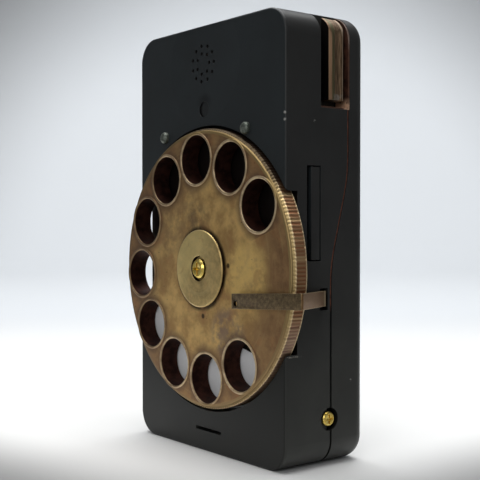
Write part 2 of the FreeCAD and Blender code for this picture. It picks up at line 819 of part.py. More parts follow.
def make_case():
    block = case_solid("case_block", 0, FRONT, BACK, s.front_edge, s.back_edge)
    hollow = case_solid("case_hollow", s.wall, depth(s.wall), BACK - s.wall)
    behind_front = parting_block("behind_front_shell", -s.seam_gap / 2)
    behind_gasket = parting_block("behind_gasket", s.seam_gap / 2)
    walls = cut("case_walls", block, hollow)

    notch = box(
        "key_notch", (NOTCH_FLOOR, SIDE + BEYOND),
        (depth(NOTCH_FRONT_DEPTH), depth(NOTCH_BACK_DEPTH)),
        (NOTCH_BOTTOM, CASE_HEIGHT + BEYOND))
    around_notch = common("notch_walls", block, box(
        "notch_walls_box", (NOTCH_FLOOR - s.notch_wall, SIDE),
        (depth(NOTCH_FRONT_DEPTH) - s.notch_wall, depth(NOTCH_BACK_DEPTH) + s.notch_wall),
        (NOTCH_BOTTOM - s.notch_wall, CASE_HEIGHT)))
    stem_hole = cylinder(
        "key_stem_hole", s.key_stem_radius + s.key_stem_gap, s.notch_wall + 2 * THROUGH,
        NOTCH_FLOOR - s.notch_wall - THROUGH, depth(KEY_DEPTH_MIDDLE), KEY_MIDDLE, "+x")

    # front shell
    cup = common("dial_cup", block, cylinder(
        "dial_cup_round", RECESS_RADIUS + s.recess_wall, RECESS_DEPTH + s.recess_wall,
        0, FRONT, DIAL_Z))
    solids = [walls, cup, around_notch]
    tools = [behind_front, notch, stem_hole, ear_dish()]
    tools.append(cylinder(
        "dial_recess", RECESS_RADIUS, RECESS_DEPTH + BEYOND, 0, FRONT - BEYOND, DIAL_Z))
    tools.append(cylinder(
        "bush_bore", s.bush_radius + s.seat_gap, s.recess_wall + 2 * THROUGH, 0,
        FLOOR_FRONT - THROUGH, DIAL_Z))
    tools.append(cylinder(
        "spindle_foot_bore", s.spindle_radius + s.running_gap,
        s.recess_wall + THROUGH, GOVERNOR_X, depth(SPINDLE_FOOT_DEPTH), GOVERNOR_Z))
    for index, (x, z) in enumerate(MECHANISM_POSTS):
        reach = PLATE_FRONT - FLOOR_BACK
        start = FLOOR_BACK - JOIN
        solids.append(cylinder(f"mechanism_post_{index}", s.post_radius, reach + JOIN, x, start, z))
        tools.append(cylinder(f"mechanism_pilot_{index}", PILOT_RADIUS, reach, x, PILOT_START, z))
    for index, (x, z) in enumerate(BOARD_POSTS):
        reach = depth(BOARD_DEPTH) - FLOOR_BACK
        upper = index % 2
        start = depth(s.wall) - JOIN if upper else FLOOR_BACK - JOIN
        length = depth(BOARD_DEPTH) - start
        solids.append(cylinder(f"board_post_{index}", s.board_post_radius, length, x, start, z))
        tools.append(cylinder(f"board_pilot_{index}", PILOT_RADIUS, reach, x, PILOT_START, z))
    stop_reach = depth(STOP_FOOT_DEPTH) - FLOOR_BACK
    solids.append(cylinder("stop_boss", s.post_radius, stop_reach + JOIN, STOP_BOSS_X,
                           FLOOR_BACK - JOIN, STOP_BOSS_Z))
    tools.append(cylinder("stop_pilot", PILOT_RADIUS, stop_reach, STOP_BOSS_X,
                          PILOT_START, STOP_BOSS_Z))
    for side, axis in ((1, "+x"), (-1, "-x")):
        tag = "right" if side > 0 else "left"
        boss = cylinder(
            f"side_boss_{tag}", s.side_boss_radius, s.side_boss_length - s.wall / 2,
            side * (SIDE - s.side_boss_length), depth(SIDE_SCREW_DEPTH), s.side_screw_height, axis)
        edges = sorted((side * (SIDE - s.side_boss_length), side * (SIDE - s.wall / 2)),
                       key=lambda edge: edge.number)
        rib = box(
            f"side_rib_{tag}", edges, (depth(s.wall / 2), depth(SIDE_SCREW_DEPTH)),
            (s.side_screw_height - s.side_boss_radius / 2,
             s.side_screw_height + s.side_boss_radius / 2))
        solids.extend([boss, rib])
    for end in (-1, 1):
        middle = ROCKER_MIDDLE + end * (s.key_board_length / 2 - s.rib_inset)
        solids.append(box(
            f"key_board_rib_{'low' if end < 0 else 'high'}",
            (KEY_BOARD_X - s.rib_thickness, KEY_BOARD_X),
            (FLOOR_BACK - JOIN, depth(KEY_BOARD_BACK_DEPTH)),
            (middle - s.rib_width / 2, middle + s.rib_width / 2)))
    tools.extend(ear_holes())
    tools.append(cylinder("sensor_recess", s.sensor_radius, s.sensor_recess + THROUGH, UPPER_X,
                          FRONT - THROUGH, SENSOR_Z))
    tools.append(cylinder("sensor_window", s.sensor_radius / 2, s.wall + 2 * THROUGH, UPPER_X,
                          FRONT - THROUGH, SENSOR_Z))
    for index, x in enumerate(PEG_PLACES):
        tools.append(cylinder(f"peg_hole_{index}", s.peg_shank_radius,
                              RECESS_DEPTH + s.recess_wall + 2 * THROUGH, x,
                              FRONT - THROUGH, PEG_Z))
    slot_half = (s.mic_slot_length - s.mic_slot_width) / 2
    tools.append(box(
        "mic_slot", (s.mic_offset - slot_half, s.mic_offset + slot_half),
        (FRONT - THROUGH, depth(s.wall) + THROUGH),
        (s.mic_height - s.mic_slot_width / 2, s.mic_height + s.mic_slot_width / 2)))
    for end in (-1, 1):
        tools.append(cylinder(
            f"mic_slot_end_{'left' if end < 0 else 'right'}", s.mic_slot_width / 2,
            s.wall + 2 * THROUGH, s.mic_offset + end * slot_half, FRONT - THROUGH, s.mic_height))
    tools.append(box(
        "rocker_opening", (SIDE - s.wall - THROUGH, SIDE + THROUGH),
        (depth(s.rocker_front_depth - s.rocker_front_gap),
         depth(s.rocker_back_depth + s.rocker_gap)),
        (ROCKER_MIDDLE - s.rocker_length / 2 - s.rocker_gap,
         ROCKER_MIDDLE + s.rocker_length / 2 + s.rocker_gap)))
    tools.append(box(
        "stop_slot", (SIDE - s.wall - THROUGH, SIDE + THROUGH),
        (depth(STOP_FOOT_DEPTH - s.stop_slot_gap),
         depth(STOP_FOOT_DEPTH) + s.stop_thickness + s.stop_slot_room),
        (DIAL_Z + s.stop_tip_low, DIAL_Z + s.stop_root_high)))
    tools.extend(side_screw_tools("front"))
    front_shell = cut("front_shell", fuse("front_solids", *solids), *tools)

    # rear shell
    rear_walls = common("rear_walls", fuse("rear_solids", walls, around_notch), behind_gasket)
    port_cut = box(
        "port_opening",
        (-s.port_width / 2 - s.port_gap, s.port_width / 2 + s.port_gap),
        (depth(PORT_DEPTH) - s.port_gap, depth(PORT_DEPTH) + s.port_height + s.port_gap),
        (-THROUGH, s.wall + THROUGH))
    boss_room = [cylinder(
        f"boss_room_{'right' if side > 0 else 'left'}", s.side_boss_radius + s.pilot_gap,
        s.side_boss_length - s.wall / 2, side * (SIDE - s.side_boss_length),
        depth(SIDE_SCREW_DEPTH), s.side_screw_height, axis)
        for side, axis in ((1, "+x"), (-1, "-x"))]
    rear_shell = cut("rear_shell", rear_walls, notch, port_cut, *boss_room,
                     *side_screw_tools("rear"))

    # gasket strip between the shells
    rim = cut("gasket_rim", case_solid("gasket_outer", s.gasket_recess),
              case_solid("gasket_inner", s.gasket_recess + s.gasket_width))
    strip = cut("gasket_strip", common("gasket_band", rim, behind_front), behind_gasket)
    gasket = cut("seam_gasket", strip, notch, *boss_room, *side_screw_tools("gasket"))

    # liner on the back and the bottom of the notch
    liner_solid = fuse(
        "liner_sheets",
        box("liner_back", (NOTCH_FLOOR, SIDE),
            (depth(NOTCH_BACK_DEPTH - s.liner_thickness), depth(NOTCH_BACK_DEPTH)),
            (NOTCH_BOTTOM, CASE_HEIGHT)),
        box("liner_bottom", (NOTCH_FLOOR, SIDE),
            (depth(NOTCH_FRONT_DEPTH), depth(NOTCH_BACK_DEPTH)),
            (NOTCH_BOTTOM, NOTCH_BOTTOM + s.liner_thickness)))
    liner = common("notch_liner", liner_solid, case_solid("liner_limit", s.liner_sink))
    return [front_shell, rear_shell, gasket, liner]


# ---------------------------------------------------------------------------------------
# Dial, hub and shaft: turned about an axis along +Y, with positions given as world Y
# ---------------------------------------------------------------------------------------
def on_dial_axis(name, profile):
    return turned(name, profile, 0, 0, DIAL_Z, "+y")


def ring_pattern(body, name, originals, count, pitch, axis_sketch):
    feature = body.newObject("PartDesign::PolarPattern", name)
    feature.Originals = originals
    feature.Axis = (axis_sketch, ["N_Axis"])
    bind(feature, "Angle", pitch * (count - 1))
    feature.Occurrences = count
    body.Tip = feature
    return feature


def make_rim_band():
    """The knurled band pressed over the dial plate, with small V grooves all round."""
    count = s.count("knurl_count")
    tip = s.dial_radius.number
    root = tip - s.knurl_depth.number
    points = []
    for index in range(2 * count):
        angle = math.pi * index / count
        radius = tip + JOIN / 10 if index % 2 == 0 else root
        points.append(FreeCAD.Vector(radius * math.cos(angle), radius * math.sin(angle), 0))
    height = s.dial_thickness.number + 2 * THROUGH
    star = Part.Face(Part.makePolygon(points + points[:1])).extrude(FreeCAD.Vector(0, 0, height))
    outline = shaped("knurl_outline", star, 0, DIAL_FRONT - THROUGH, DIAL_Z, "+y")
    chamfer = s.dial_chamfer
    inner = s.dial_radius - s.rim_band_thickness
    ring = on_dial_axis("rim_ring_blank", [
        (inner, DIAL_FRONT), (s.dial_radius - chamfer, DIAL_FRONT),
        (s.dial_radius, DIAL_FRONT + s.rim_bevel_depth), (s.dial_radius, DIAL_BACK - chamfer),
        (s.dial_radius - chamfer, DIAL_BACK), (inner, DIAL_BACK),
    ])
    return common("rim_band", ring, outline)


def make_dial_plate():
    seat = s.shaft_seat_radius + s.seat_gap
    spigot = s.cap_spigot_radius + s.seat_gap
    edge = s.dial_radius - s.rim_band_thickness
    profile = [
        (seat, DIAL_FRONT + s.cap_spigot_depth), (seat, DIAL_BACK), (edge, DIAL_BACK),
        (edge, DIAL_FRONT), (spigot, DIAL_FRONT), (spigot, DIAL_FRONT + s.cap_spigot_depth),
    ]
    body = on_dial_axis("dial_plate", profile)
    count = s.count("finger_hole_count")
    start = -(s.finger_first_angle + s.finger_pitch * (count - 1))
    u = FINGER_CIRCLE * cosine(start)
    v = FINGER_CIRCLE * sine(start)
    lip = new_sketch(body, "lip_sketch", "XY_Plane", DIAL_FRONT)
    draw_circle(lip, u, v, s.finger_hole_radius + s.rim_ring_width)
    raised = pad(body, "lip", lip, s.rim_ring_height, reverse=True)
    collar = new_sketch(body, "collar_sketch", "XY_Plane", DIAL_BACK)
    draw_circle(collar, u, v, s.finger_hole_radius + s.rim_ring_width)
    behind = pad(body, "collar", collar, s.rim_collar_height)
    hole = new_sketch(body, "finger_hole_sketch", "XY_Plane", DIAL_FRONT - s.rim_ring_height)
    draw_circle(hole, u, v, s.finger_hole_radius)
    through = pocket(body, "finger_hole", hole, s.dial_thickness + BEYOND, reverse=True)
    centre = new_sketch(body, "pattern_axis", "XY_Plane")
    ring_pattern(body, "finger_holes", [raised, behind, through], count, s.finger_pitch, centre)
    return body


# Width of the retaining clip's mouth, as a share of the groove that it grips
CLIP_MOUTH = 0.8


def make_hub():
    well = DIAL_FRONT + s.cap_spigot_depth - s.cap_web
    rise = DIAL_FRONT - s.cap_rise
    bore = s.hub_screw_radius + s.pilot_gap
    cap = on_dial_axis("hub_cap", [
        (bore, DIAL_FRONT + s.cap_spigot_depth), (s.cap_spigot_radius, DIAL_FRONT + s.cap_spigot_depth),
        (s.cap_spigot_radius, DIAL_FRONT), (s.cap_radius, DIAL_FRONT),
        (s.cap_radius, rise + s.cap_edge), (s.cap_radius - s.cap_edge, rise), (s.cap_well_radius, rise),
        (s.cap_well_radius, well), (bore, well),
    ])
    hub_screw = screw("hub_screw", s.hub_screw_head_radius, well - rise + s.hub_screw_proud,
                      s.hub_screw_radius, s.hub_screw_length, 0, well, DIAL_Z, "-y")

    flange = DIAL_BACK + s.shaft_flange_thickness
    seat = DIAL_FRONT + s.cap_spigot_depth + s.seat_gap
    bore_end = well + s.hub_screw_length + s.hub_thread_spare
    clip_start = PLATE_BACK + s.stop_block_gap
    clip_end = clip_start + s.clip_thickness + s.seat_gap
    end = depth(SHAFT_END_DEPTH)
    tapped = s.hub_screw_radius + s.seat_gap
    shaft = on_dial_axis("dial_shaft", [
        (tapped, seat), (s.shaft_seat_radius, seat), (s.shaft_seat_radius, DIAL_BACK),
        (s.shaft_flange_radius, DIAL_BACK), (s.shaft_flange_radius, flange),
        (s.shaft_radius, flange), (s.shaft_radius, clip_start), (s.clip_groove_radius, clip_start),
        (s.clip_groove_radius, clip_end), (s.shaft_radius, clip_end), (s.shaft_radius, end),
        (0, end), (0, bore_end), (tapped, bore_end),
    ])
    washer_radius = s.shaft_flange_radius - s.washer_inset
    washer = on_dial_axis("thrust_washer", [
        (s.shaft_radius + s.seat_gap, flange), (washer_radius, flange),
        (washer_radius, flange + s.washer_thickness),
        (s.shaft_radius + s.seat_gap, flange + s.washer_thickness),
    ])
    bush_bore = s.shaft_radius + s.running_gap
    bush_face = FLOOR_FRONT - s.bush_flange_thickness
    bush_end = FLOOR_BACK + s.bush_tail
    bush = on_dial_axis("shaft_bush", [
        (bush_bore, bush_face), (s.shaft_flange_radius, bush_face),
        (s.shaft_flange_radius, FLOOR_FRONT), (s.bush_radius, FLOOR_FRONT),
        (s.bush_radius, bush_end), (bush_bore, bush_end),
    ])
    ring = on_dial_axis("clip_ring", [
        (s.clip_groove_radius, clip_start), (s.clip_radius, clip_start),
        (s.clip_radius, clip_start + s.clip_thickness),
        (s.clip_groove_radius, clip_start + s.clip_thickness),
    ])
    mouth_half = s.clip_groove_radius * CLIP_MOUTH
    mouth = box("clip_mouth", (-mouth_half, mouth_half), (clip_start - THROUGH, clip_end + THROUGH),
                (DIAL_Z - s.clip_radius - THROUGH, DIAL_Z))
    clip = cut("retaining_clip", ring, mouth)
    return [cap, hub_screw, shaft, washer, bush, clip]


# ---------------------------------------------------------------------------------------
# Return train: gear, spring, pulse disc, stop block, governor
# ---------------------------------------------------------------------------------------
def involute(angle):
    return math.tan(angle) - angle


def gear_shape(teeth, width, bore, first_tooth):
    """A spur gear about Z with 20 degree involute flanks; one tooth points at first_tooth."""
    module = s.gear_module.number
    pressure = math.radians(20)
    pitch = module * teeth / 2
    base = pitch * math.cos(pressure)
    tip = pitch + module
    root = pitch - 1.25 * module
    half_pitch = math.pi / (2 * teeth) - s.tooth_backlash.number / (4 * pitch)
    steps = 6
    flank = []
    for step in range(steps + 1):
        radius = max(base, root) + (tip - max(base, root)) * step / steps
        lean = involute(math.acos(min(1.0, base / radius)))
        flank.append((radius, half_pitch + involute(pressure) - lean))
    if root < base:
        flank.insert(0, (root, flank[0][1]))
    points = []
    for tooth in range(teeth):
        centre = math.radians(first_tooth) + 2 * math.pi * tooth / teeth
        rising = [(radius, centre - half) for radius, half in flank]
        falling = [(radius, centre + half) for radius, half in reversed(flank)]
        for radius, angle in rising + falling:
            points.append(FreeCAD.Vector(radius * math.cos(angle), radius * math.sin(angle), 0))
    face = Part.Face(Part.makePolygon(points + points[:1]))
    solid = face.extrude(FreeCAD.Vector(0, 0, width))
    return solid.cut(Part.makeCylinder(bore, width + 2, FreeCAD.Vector(0, 0, -1)))


def local_angle(world_angle):
    """Angles about an axis along +Y run the other way from angles seen from the front."""
    return -world_angle


def make_gears():
    teeth = s.count("gear_teeth")
    width = s.gear_width.number
    bore = s.shaft_radius.number + s.seat_gap.number
    towards = local_angle(s.governor_angle.number)
    wheel = gear_shape(teeth, width, bore, towards)
    lug_radius = s.lug_radius.number
    lug_angle = math.radians(local_angle(lug_rest_angle().number))
    lug_spot = FreeCAD.Vector(s.lug_circle_radius.number * math.cos(lug_angle),
                              s.lug_circle_radius.number * math.sin(lug_angle), width - JOIN)
    lug = Part.makeCylinder(lug_radius, s.lug_height.number + JOIN, lug_spot)
    gear = shaped("drive_gear", wheel.fuse(lug).removeSplitter(), 0, depth(GEAR_DEPTH), DIAL_Z, "+y")

    pinion_teeth = s.count("pinion_teeth")
    facing_gap = towards + 180.0 + 180.0 / pinion_teeth
    pinion_bore = s.spindle_radius.number + s.seat_gap.number
    pinion = shaped("governor_pinion", gear_shape(pinion_teeth, width, pinion_bore, facing_gap),
                    GOVERNOR_X, depth(GEAR_DEPTH), GOVERNOR_Z, "+y")
    return [gear, pinion]


def lug_rest_angle():
    """The lug rests against one end of the stop block and meets the other at full travel."""
    return s.stop_block_angle - (360.0 - s.dial_travel) / 2


def sector_shape(inner, outer, middle, half_angle, height):
    """A piece of a ring about Z, centred on the angle called middle."""
    corners = {}
    for name, radius in (("inner", inner), ("outer", outer)):
        corners[name] = []
        for angle in (middle - half_angle, middle, middle + half_angle):
            turn = math.radians(angle)
            spot = FreeCAD.Vector(radius * math.cos(turn), radius * math.sin(turn), 0)
            corners[name].append(spot)
    wire = Part.Wire([
        Part.Arc(*corners["outer"]).toShape(),
        Part.LineSegment(corners["outer"][2], corners["inner"][2]).toShape(),
        Part.Arc(*reversed(corners["inner"])).toShape(),
        Part.LineSegment(corners["inner"][0], corners["outer"][0]).toShape(),
    ])
    return Part.Face(wire).extrude(FreeCAD.Vector(0, 0, height))


def make_stop_block():
    radius = s.lug_circle_radius.number
    lug = s.lug_radius.number
    lug_half = math.degrees(math.asin(lug / radius))
    gap = math.degrees(s.stop_block_gap.number / radius)
    half_angle = (360.0 - s.dial_travel.number) / 2 - lug_half - gap
    start = depth(GEAR_DEPTH + s.gear_width) + s.stop_block_gap
    height = (PLATE_FRONT - start).number
    middle = local_angle(s.stop_block_angle.number)
    shape = sector_shape(radius - lug, radius + lug, middle, half_angle, height)
    return shaped("stop_block", shape, 0, start, DIAL_Z, "+y")


def make_return_spring():
    inner = s.spring_inner_radius.number
    outer = s.spring_outer_radius.number
    turns = s.spring_turns.number
    thickness = s.spring_thickness.number
    steps = round(24 * turns)
    edges = []
    for shift in (0.0, thickness):
        points = []
        for step in range(steps + 1):
            share = step / steps
            radius = inner + (outer - thickness - inner) * share + shift
            angle = 2 * math.pi * turns * share
            points.append(FreeCAD.Vector(radius * math.cos(angle), radius * math.sin(angle), 0))
        curve = Part.BSplineCurve()
        curve.interpolate(points)
        edges.append((curve.toShape(), points))
    (near, near_points), (far, far_points) = edges
    start_cap = Part.LineSegment(near_points[0], far_points[0]).toShape()
    end_cap = Part.LineSegment(near_points[-1], far_points[-1]).toShape()
    wire = Part.Wire(Part.sortEdges([near, end_cap, far, start_cap])[0])
    solid = Part.Face(wire).extrude(FreeCAD.Vector(0, 0, s.spring_width.number))
    return shaped("return_spring", solid, 0, depth(SPRING_DEPTH), DIAL_Z, "+y")


def make_spring_fixings():
    start = depth(SPRING_DEPTH)
    end = start + s.spring_width
    bore = s.shaft_radius + s.seat_gap
    collar = on_dial_axis("spring_collar", [
        (bore, start - s.collar_overhang), (s.collar_radius, start - s.collar_overhang),
        (s.collar_radius, end + s.collar_overhang), (bore, end + s.collar_overhang),
    ])
    post = cylinder("spring_post", s.spring_post_radius, PLATE_FRONT - start,
                    s.spring_outer_radius + s.spring_post_radius + s.seat_gap, start, DIAL_Z)
    return [collar, post]


def make_pulse_disc():
    start = depth(PULSE_DEPTH)
    end = start + s.pulse_disc_thickness
    bore = s.shaft_radius + s.seat_gap
    body = on_dial_axis("pulse_disc", [
        (bore, start - s.pulse_hub_length), (s.gear_hub_radius, start - s.pulse_hub_length),
        (s.gear_hub_radius, start),
        (s.pulse_disc_radius, start), (s.pulse_disc_radius, end), (bore, end),
    ])
    slot = new_sketch(body, "pulse_slot_sketch", "XY_Plane", start - THROUGH)
    inner = s.pulse_disc_radius - s.pulse_slot_depth
    half = s.pulse_slot_width / 2
    outer = s.pulse_disc_radius + THROUGH
    draw_polygon(slot, [(inner, -half), (outer, -half), (outer, half), (inner, half)])
    first = pocket(body, "pulse_slot", slot, s.pulse_disc_thickness + 2 * THROUGH, reverse=True)
    count = s.count("finger_hole_count")
    ring_pattern(body, "pulse_slots", [first], count, s.finger_pitch, slot)
    return body


def make_pulse_sensor():
    """A fork that stands on the plate and straddles the edge of the pulse disc."""
    edge = DIAL_Z - s.pulse_disc_radius
    disc = depth(PULSE_DEPTH)
    half = s.fork_width / 2
    fork = box("pulse_fork_block", (-half, half), (disc - s.fork_gap - s.fork_arm, PLATE_FRONT),
               (edge - s.fork_reach, edge + s.fork_overlap))
    slot = box(
        "pulse_fork_slot", (-half - THROUGH, half + THROUGH),
        (disc - s.fork_gap, disc + s.pulse_disc_thickness + s.fork_gap),
        (edge - s.fork_gap, edge + s.fork_overlap + THROUGH))
    return cut("pulse_sensor", fork, slot)


def make_governor():
    start = depth(ROTOR_DEPTH)
    spindle_start = depth(SPINDLE_FOOT_DEPTH) + s.spindle_end_gap
    spindle = cylinder("governor_spindle", s.spindle_radius,
                       PLATE_BACK + s.spindle_tail - spindle_start,
                       GOVERNOR_X, spindle_start, GOVERNOR_Z)
    disc = cylinder("rotor_round", s.governor_radius, s.governor_height, GOVERNOR_X, start, GOVERNOR_Z)
    arm = s.rotor_bar_width / 2
    bar = box("rotor_bar", (GOVERNOR_X - s.governor_radius, GOVERNOR_X + s.governor_radius),
              (start, start + s.governor_height), (GOVERNOR_Z - arm, GOVERNOR_Z + arm))
    hub_start = start - s.rotor_hub_length
    hub = cylinder("rotor_hub", s.rotor_hub_radius, s.governor_height + s.rotor_hub_length,
                   GOVERNOR_X, hub_start, GOVERNOR_Z)
    bore = cylinder("rotor_bore", s.spindle_radius + s.seat_gap,
                    s.governor_height + s.rotor_hub_length + 2 * THROUGH,
                    GOVERNOR_X, hub_start - THROUGH, GOVERNOR_Z)
    rotor = cut("governor_rotor", fuse("rotor_solid", common("rotor_arms", disc, bar), hub), bore)
    cup_start = start - s.cup_overhang
    outer = cylinder("cup_outer", CUP_RADIUS + s.cup_wall, PLATE_FRONT - cup_start,
                     GOVERNOR_X, cup_start, GOVERNOR_Z)
    inner = cylinder("cup_inner", CUP_RADIUS, PLATE_FRONT - cup_start + 2 * THROUGH,
                     GOVERNOR_X, cup_start - THROUGH, GOVERNOR_Z)
    return [spindle, rotor, cut("governor_cup", outer, inner)]


def make_mechanism_plate():
    left, right = -PLATE_LEFT, s.plate_right
    low, high = DIAL_Z - s.plate_bottom, DIAL_Z + s.plate_top
    body = front_prism("mechanism_blank", [(left, low), (right, low), (right, high), (left, high)],
                       PLATE_BACK, s.plate_thickness)
    fillet(body, "mechanism_corners", body.Tip, s.post_radius, along_y)
    reach = s.plate_thickness + 2 * THROUGH
    tools = [
        cylinder("plate_shaft_bore", s.shaft_radius + s.running_gap, reach, 0,
                 PLATE_FRONT - THROUGH, DIAL_Z),
        cylinder("plate_spindle_bore", s.spindle_radius + s.running_gap, reach, GOVERNOR_X,
                 PLATE_FRONT - THROUGH, GOVERNOR_Z),
    ]
    for index, (x, z) in enumerate(MECHANISM_POSTS):
        tools.append(cylinder(f"plate_hole_{index}", PILOT_RADIUS, reach, x, PLATE_FRONT - THROUGH, z))
    plate = cut("mechanism_plate", body, *tools)
    screws = [
        screw(f"mechanism_screw_{index}", s.machine_head_radius, s.machine_head_height,
              s.machine_screw_radius, s.machine_screw_length, x, PLATE_BACK, z, "+y")
        for index, (x, z) in enumerate(MECHANISM_POSTS)
    ]
    return [plate, group("mechanism_screws", *screws)]


# ---------------------------------------------------------------------------------------
# Finger stop and the plate behind the lower finger holes
# ---------------------------------------------------------------------------------------
# The side leg of the stop leans, so its strip is this many times thicker along X
LEG_SKIN = 1.15


def make_finger_stop():
    inner_face = DIAL_FRONT - s.rim_ring_height - s.stop_face_gap
    outer_face = inner_face - s.stop_thickness
    foot_front = depth(STOP_FOOT_DEPTH)
    foot_back = foot_front + s.stop_thickness
    exit_x = SIDE + s.stop_exit
    skin = s.stop_thickness * LEG_SKIN
    # The leg passes the dial's rear edge at the rim gap, this share of the way to the bend
    share = (foot_front - DIAL_BACK) / (foot_front - inner_face)
    bend_x = exit_x + (s.dial_radius + s.stop_rim_gap - exit_x + skin) / share
    bottom = DIAL_Z + s.stop_tip_low
    top = DIAL_Z + s.stop_root_high
    body = new_body("stop_strip")
    sketch = new_sketch(body, "stop_strip_outline", "XY_Plane", bottom - THROUGH)
    draw_polygon(sketch, [
        (STOP_FOOT_X, foot_front), (exit_x - skin, foot_front),
        (bend_x - skin, inner_face), (s.stop_tip_reach, inner_face),
        (s.stop_tip_reach, outer_face), (bend_x, outer_face),
        (exit_x, foot_back), (STOP_FOOT_X, foot_back),
    ])
    strip = pad(body, "stop_strip_pad", sketch, top - bottom + 2 * THROUGH)

    def outer_bend(edge):
        return all(abs(v.Point.x - bend_x.number) < 0.01
                   and abs(v.Point.y - outer_face.number) < 0.01 for v in edge.Vertexes)

    fillet(body, "stop_bend", strip, s.stop_bend_radius, outer_bend)
    outline = front_prism("stop_outline", [
        (s.stop_tip_reach - THROUGH, DIAL_Z + s.stop_tip_low),
        (bend_x + THROUGH, DIAL_Z + s.stop_root_low),
        (bend_x + THROUGH, DIAL_Z + s.stop_root_high),
        (s.stop_tip_reach - THROUGH, DIAL_Z + s.stop_tip_high),
    ], foot_back + THROUGH, foot_back - outer_face + 2 * THROUGH)
    through_strip = s.stop_thickness + 2 * THROUGH
    dimple = cylinder("stop_dimple", s.dimple_radius, through_strip,
                      s.stop_tip_reach + s.dimple_inset, outer_face - THROUGH,
                      DIAL_Z + s.stop_tip_low + s.dimple_rise)
    foot_hole = cylinder("stop_foot_hole", PILOT_RADIUS, through_strip, STOP_BOSS_X,
                         foot_front - THROUGH, STOP_BOSS_Z)
    stop = cut("finger_stop", common("stop_blank", body, outline), dimple, foot_hole)
    fixing = screw("finger_stop_screw", s.machine_head_radius, s.machine_head_height,
                   s.machine_screw_radius, foot_back - PILOT_START - s.stop_screw_spare,
                   STOP_BOSS_X, foot_back, STOP_BOSS_Z, "+y")
    return [stop, fixing]


def make_number_plate():
    edge = SIDE - s.number_plate_edge_gap
    slope = sine(s.number_plate_tilt) / cosine(s.number_plate_tilt)
    upper = DIAL_Z - s.number_plate_drop
    low = DIAL_Z - RECESS_RADIUS
    sheet = front_prism("number_plate_blank", [
        (-edge, low), (edge, low), (edge, upper - edge * slope), (-edge, upper + edge * slope),
    ], FLOOR_FRONT, s.number_plate_thickness)
    disc = cylinder("number_plate_round", RECESS_RADIUS - s.number_plate_edge_gap,
                    s.number_plate_thickness + 2 * THROUGH, 0,
                    FLOOR_FRONT - s.number_plate_thickness - THROUGH, DIAL_Z)
    return common("number_plate", sheet, disc)


# ---------------------------------------------------------------------------------------
# Front fittings: pegs, receiver, sensor, microphone
# ---------------------------------------------------------------------------------------
# Corners of a peg's rounded top, as shares of its radius and of its rise
PEG_DOME = ((0.82, 0.8), (0.45, 1.0))


def make_pegs():
    pegs = []
    cap = s.peg_rise / 2
    shank = s.peg_shank_radius - s.seat_gap
    tail = -s.wall - s.peg_tail
    for index, x in enumerate(PEG_PLACES):
        profile = [
            (0, tail), (shank, tail), (shank, 0), (s.peg_radius, 0), (s.peg_radius, cap),
            *[(s.peg_radius * across, s.peg_rise * along) for across, along in PEG_DOME],
            (0, s.peg_rise),
        ]
        side = "left" if index == 0 else "right"
        pegs.append(turned(f"peg_{side}", profile, x, FRONT, PEG_Z, "-y"))
    return pegs


def make_receiver():
    start = depth(s.wall)
    gasket_ring = cut(
        "receiver_gasket",
        cylinder("receiver_gasket_outer", s.receiver_radius, s.receiver_gasket, EAR_X, start,
                 EAR_Z),
        cylinder("receiver_gasket_inner", s.ear_outer_circle + s.gasket_margin,
                 s.receiver_gasket + 2 * THROUGH, EAR_X, start - THROUGH, EAR_Z))
    front = start + s.receiver_gasket
    can = cylinder("receiver_can", s.receiver_radius, s.receiver_height, EAR_X, front, EAR_Z)
    magnet = cylinder("receiver_magnet", s.receiver_radius / 2, s.magnet_height + JOIN, EAR_X,
                      front + s.receiver_height - JOIN, EAR_Z)
    return [gasket_ring, fuse("receiver", can, magnet)]


def make_sensor():
    lens = cylinder("sensor_lens", s.sensor_radius - s.seat_gap, s.sensor_recess / 2, UPPER_X,
                    depth(s.sensor_recess / 2), SENSOR_Z)
    half = s.sensor_chip / 2
    chip = box("light_sensor", (UPPER_X - half, UPPER_X + half),
               (depth(s.wall), depth(s.wall) + s.sensor_chip_height),
               (SENSOR_Z - half, SENSOR_Z + half))
    return [lens, chip]


def make_microphone():
    half = s.mic_body / 2
    rise = s.mic_body_height / 2
    start = depth(s.wall)
    back = start + s.mic_gasket
    frame = box("mic_gasket_block", (s.mic_offset - half, s.mic_offset + half), (start, back),
                (s.mic_height - rise, s.mic_height + rise))
    clear = half - s.mic_frame
    clear_rise = rise - s.mic_frame
    window = box("mic_gasket_window", (s.mic_offset - clear, s.mic_offset + clear),
                 (start - THROUGH, back + THROUGH),
                 (s.mic_height - clear_rise, s.mic_height + clear_rise))
    body = box("microphone", (s.mic_offset - half, s.mic_offset + half),
               (back, back + s.mic_thickness), (s.mic_height - rise, s.mic_height + rise))
    return [cut("mic_gasket", frame, window), body]


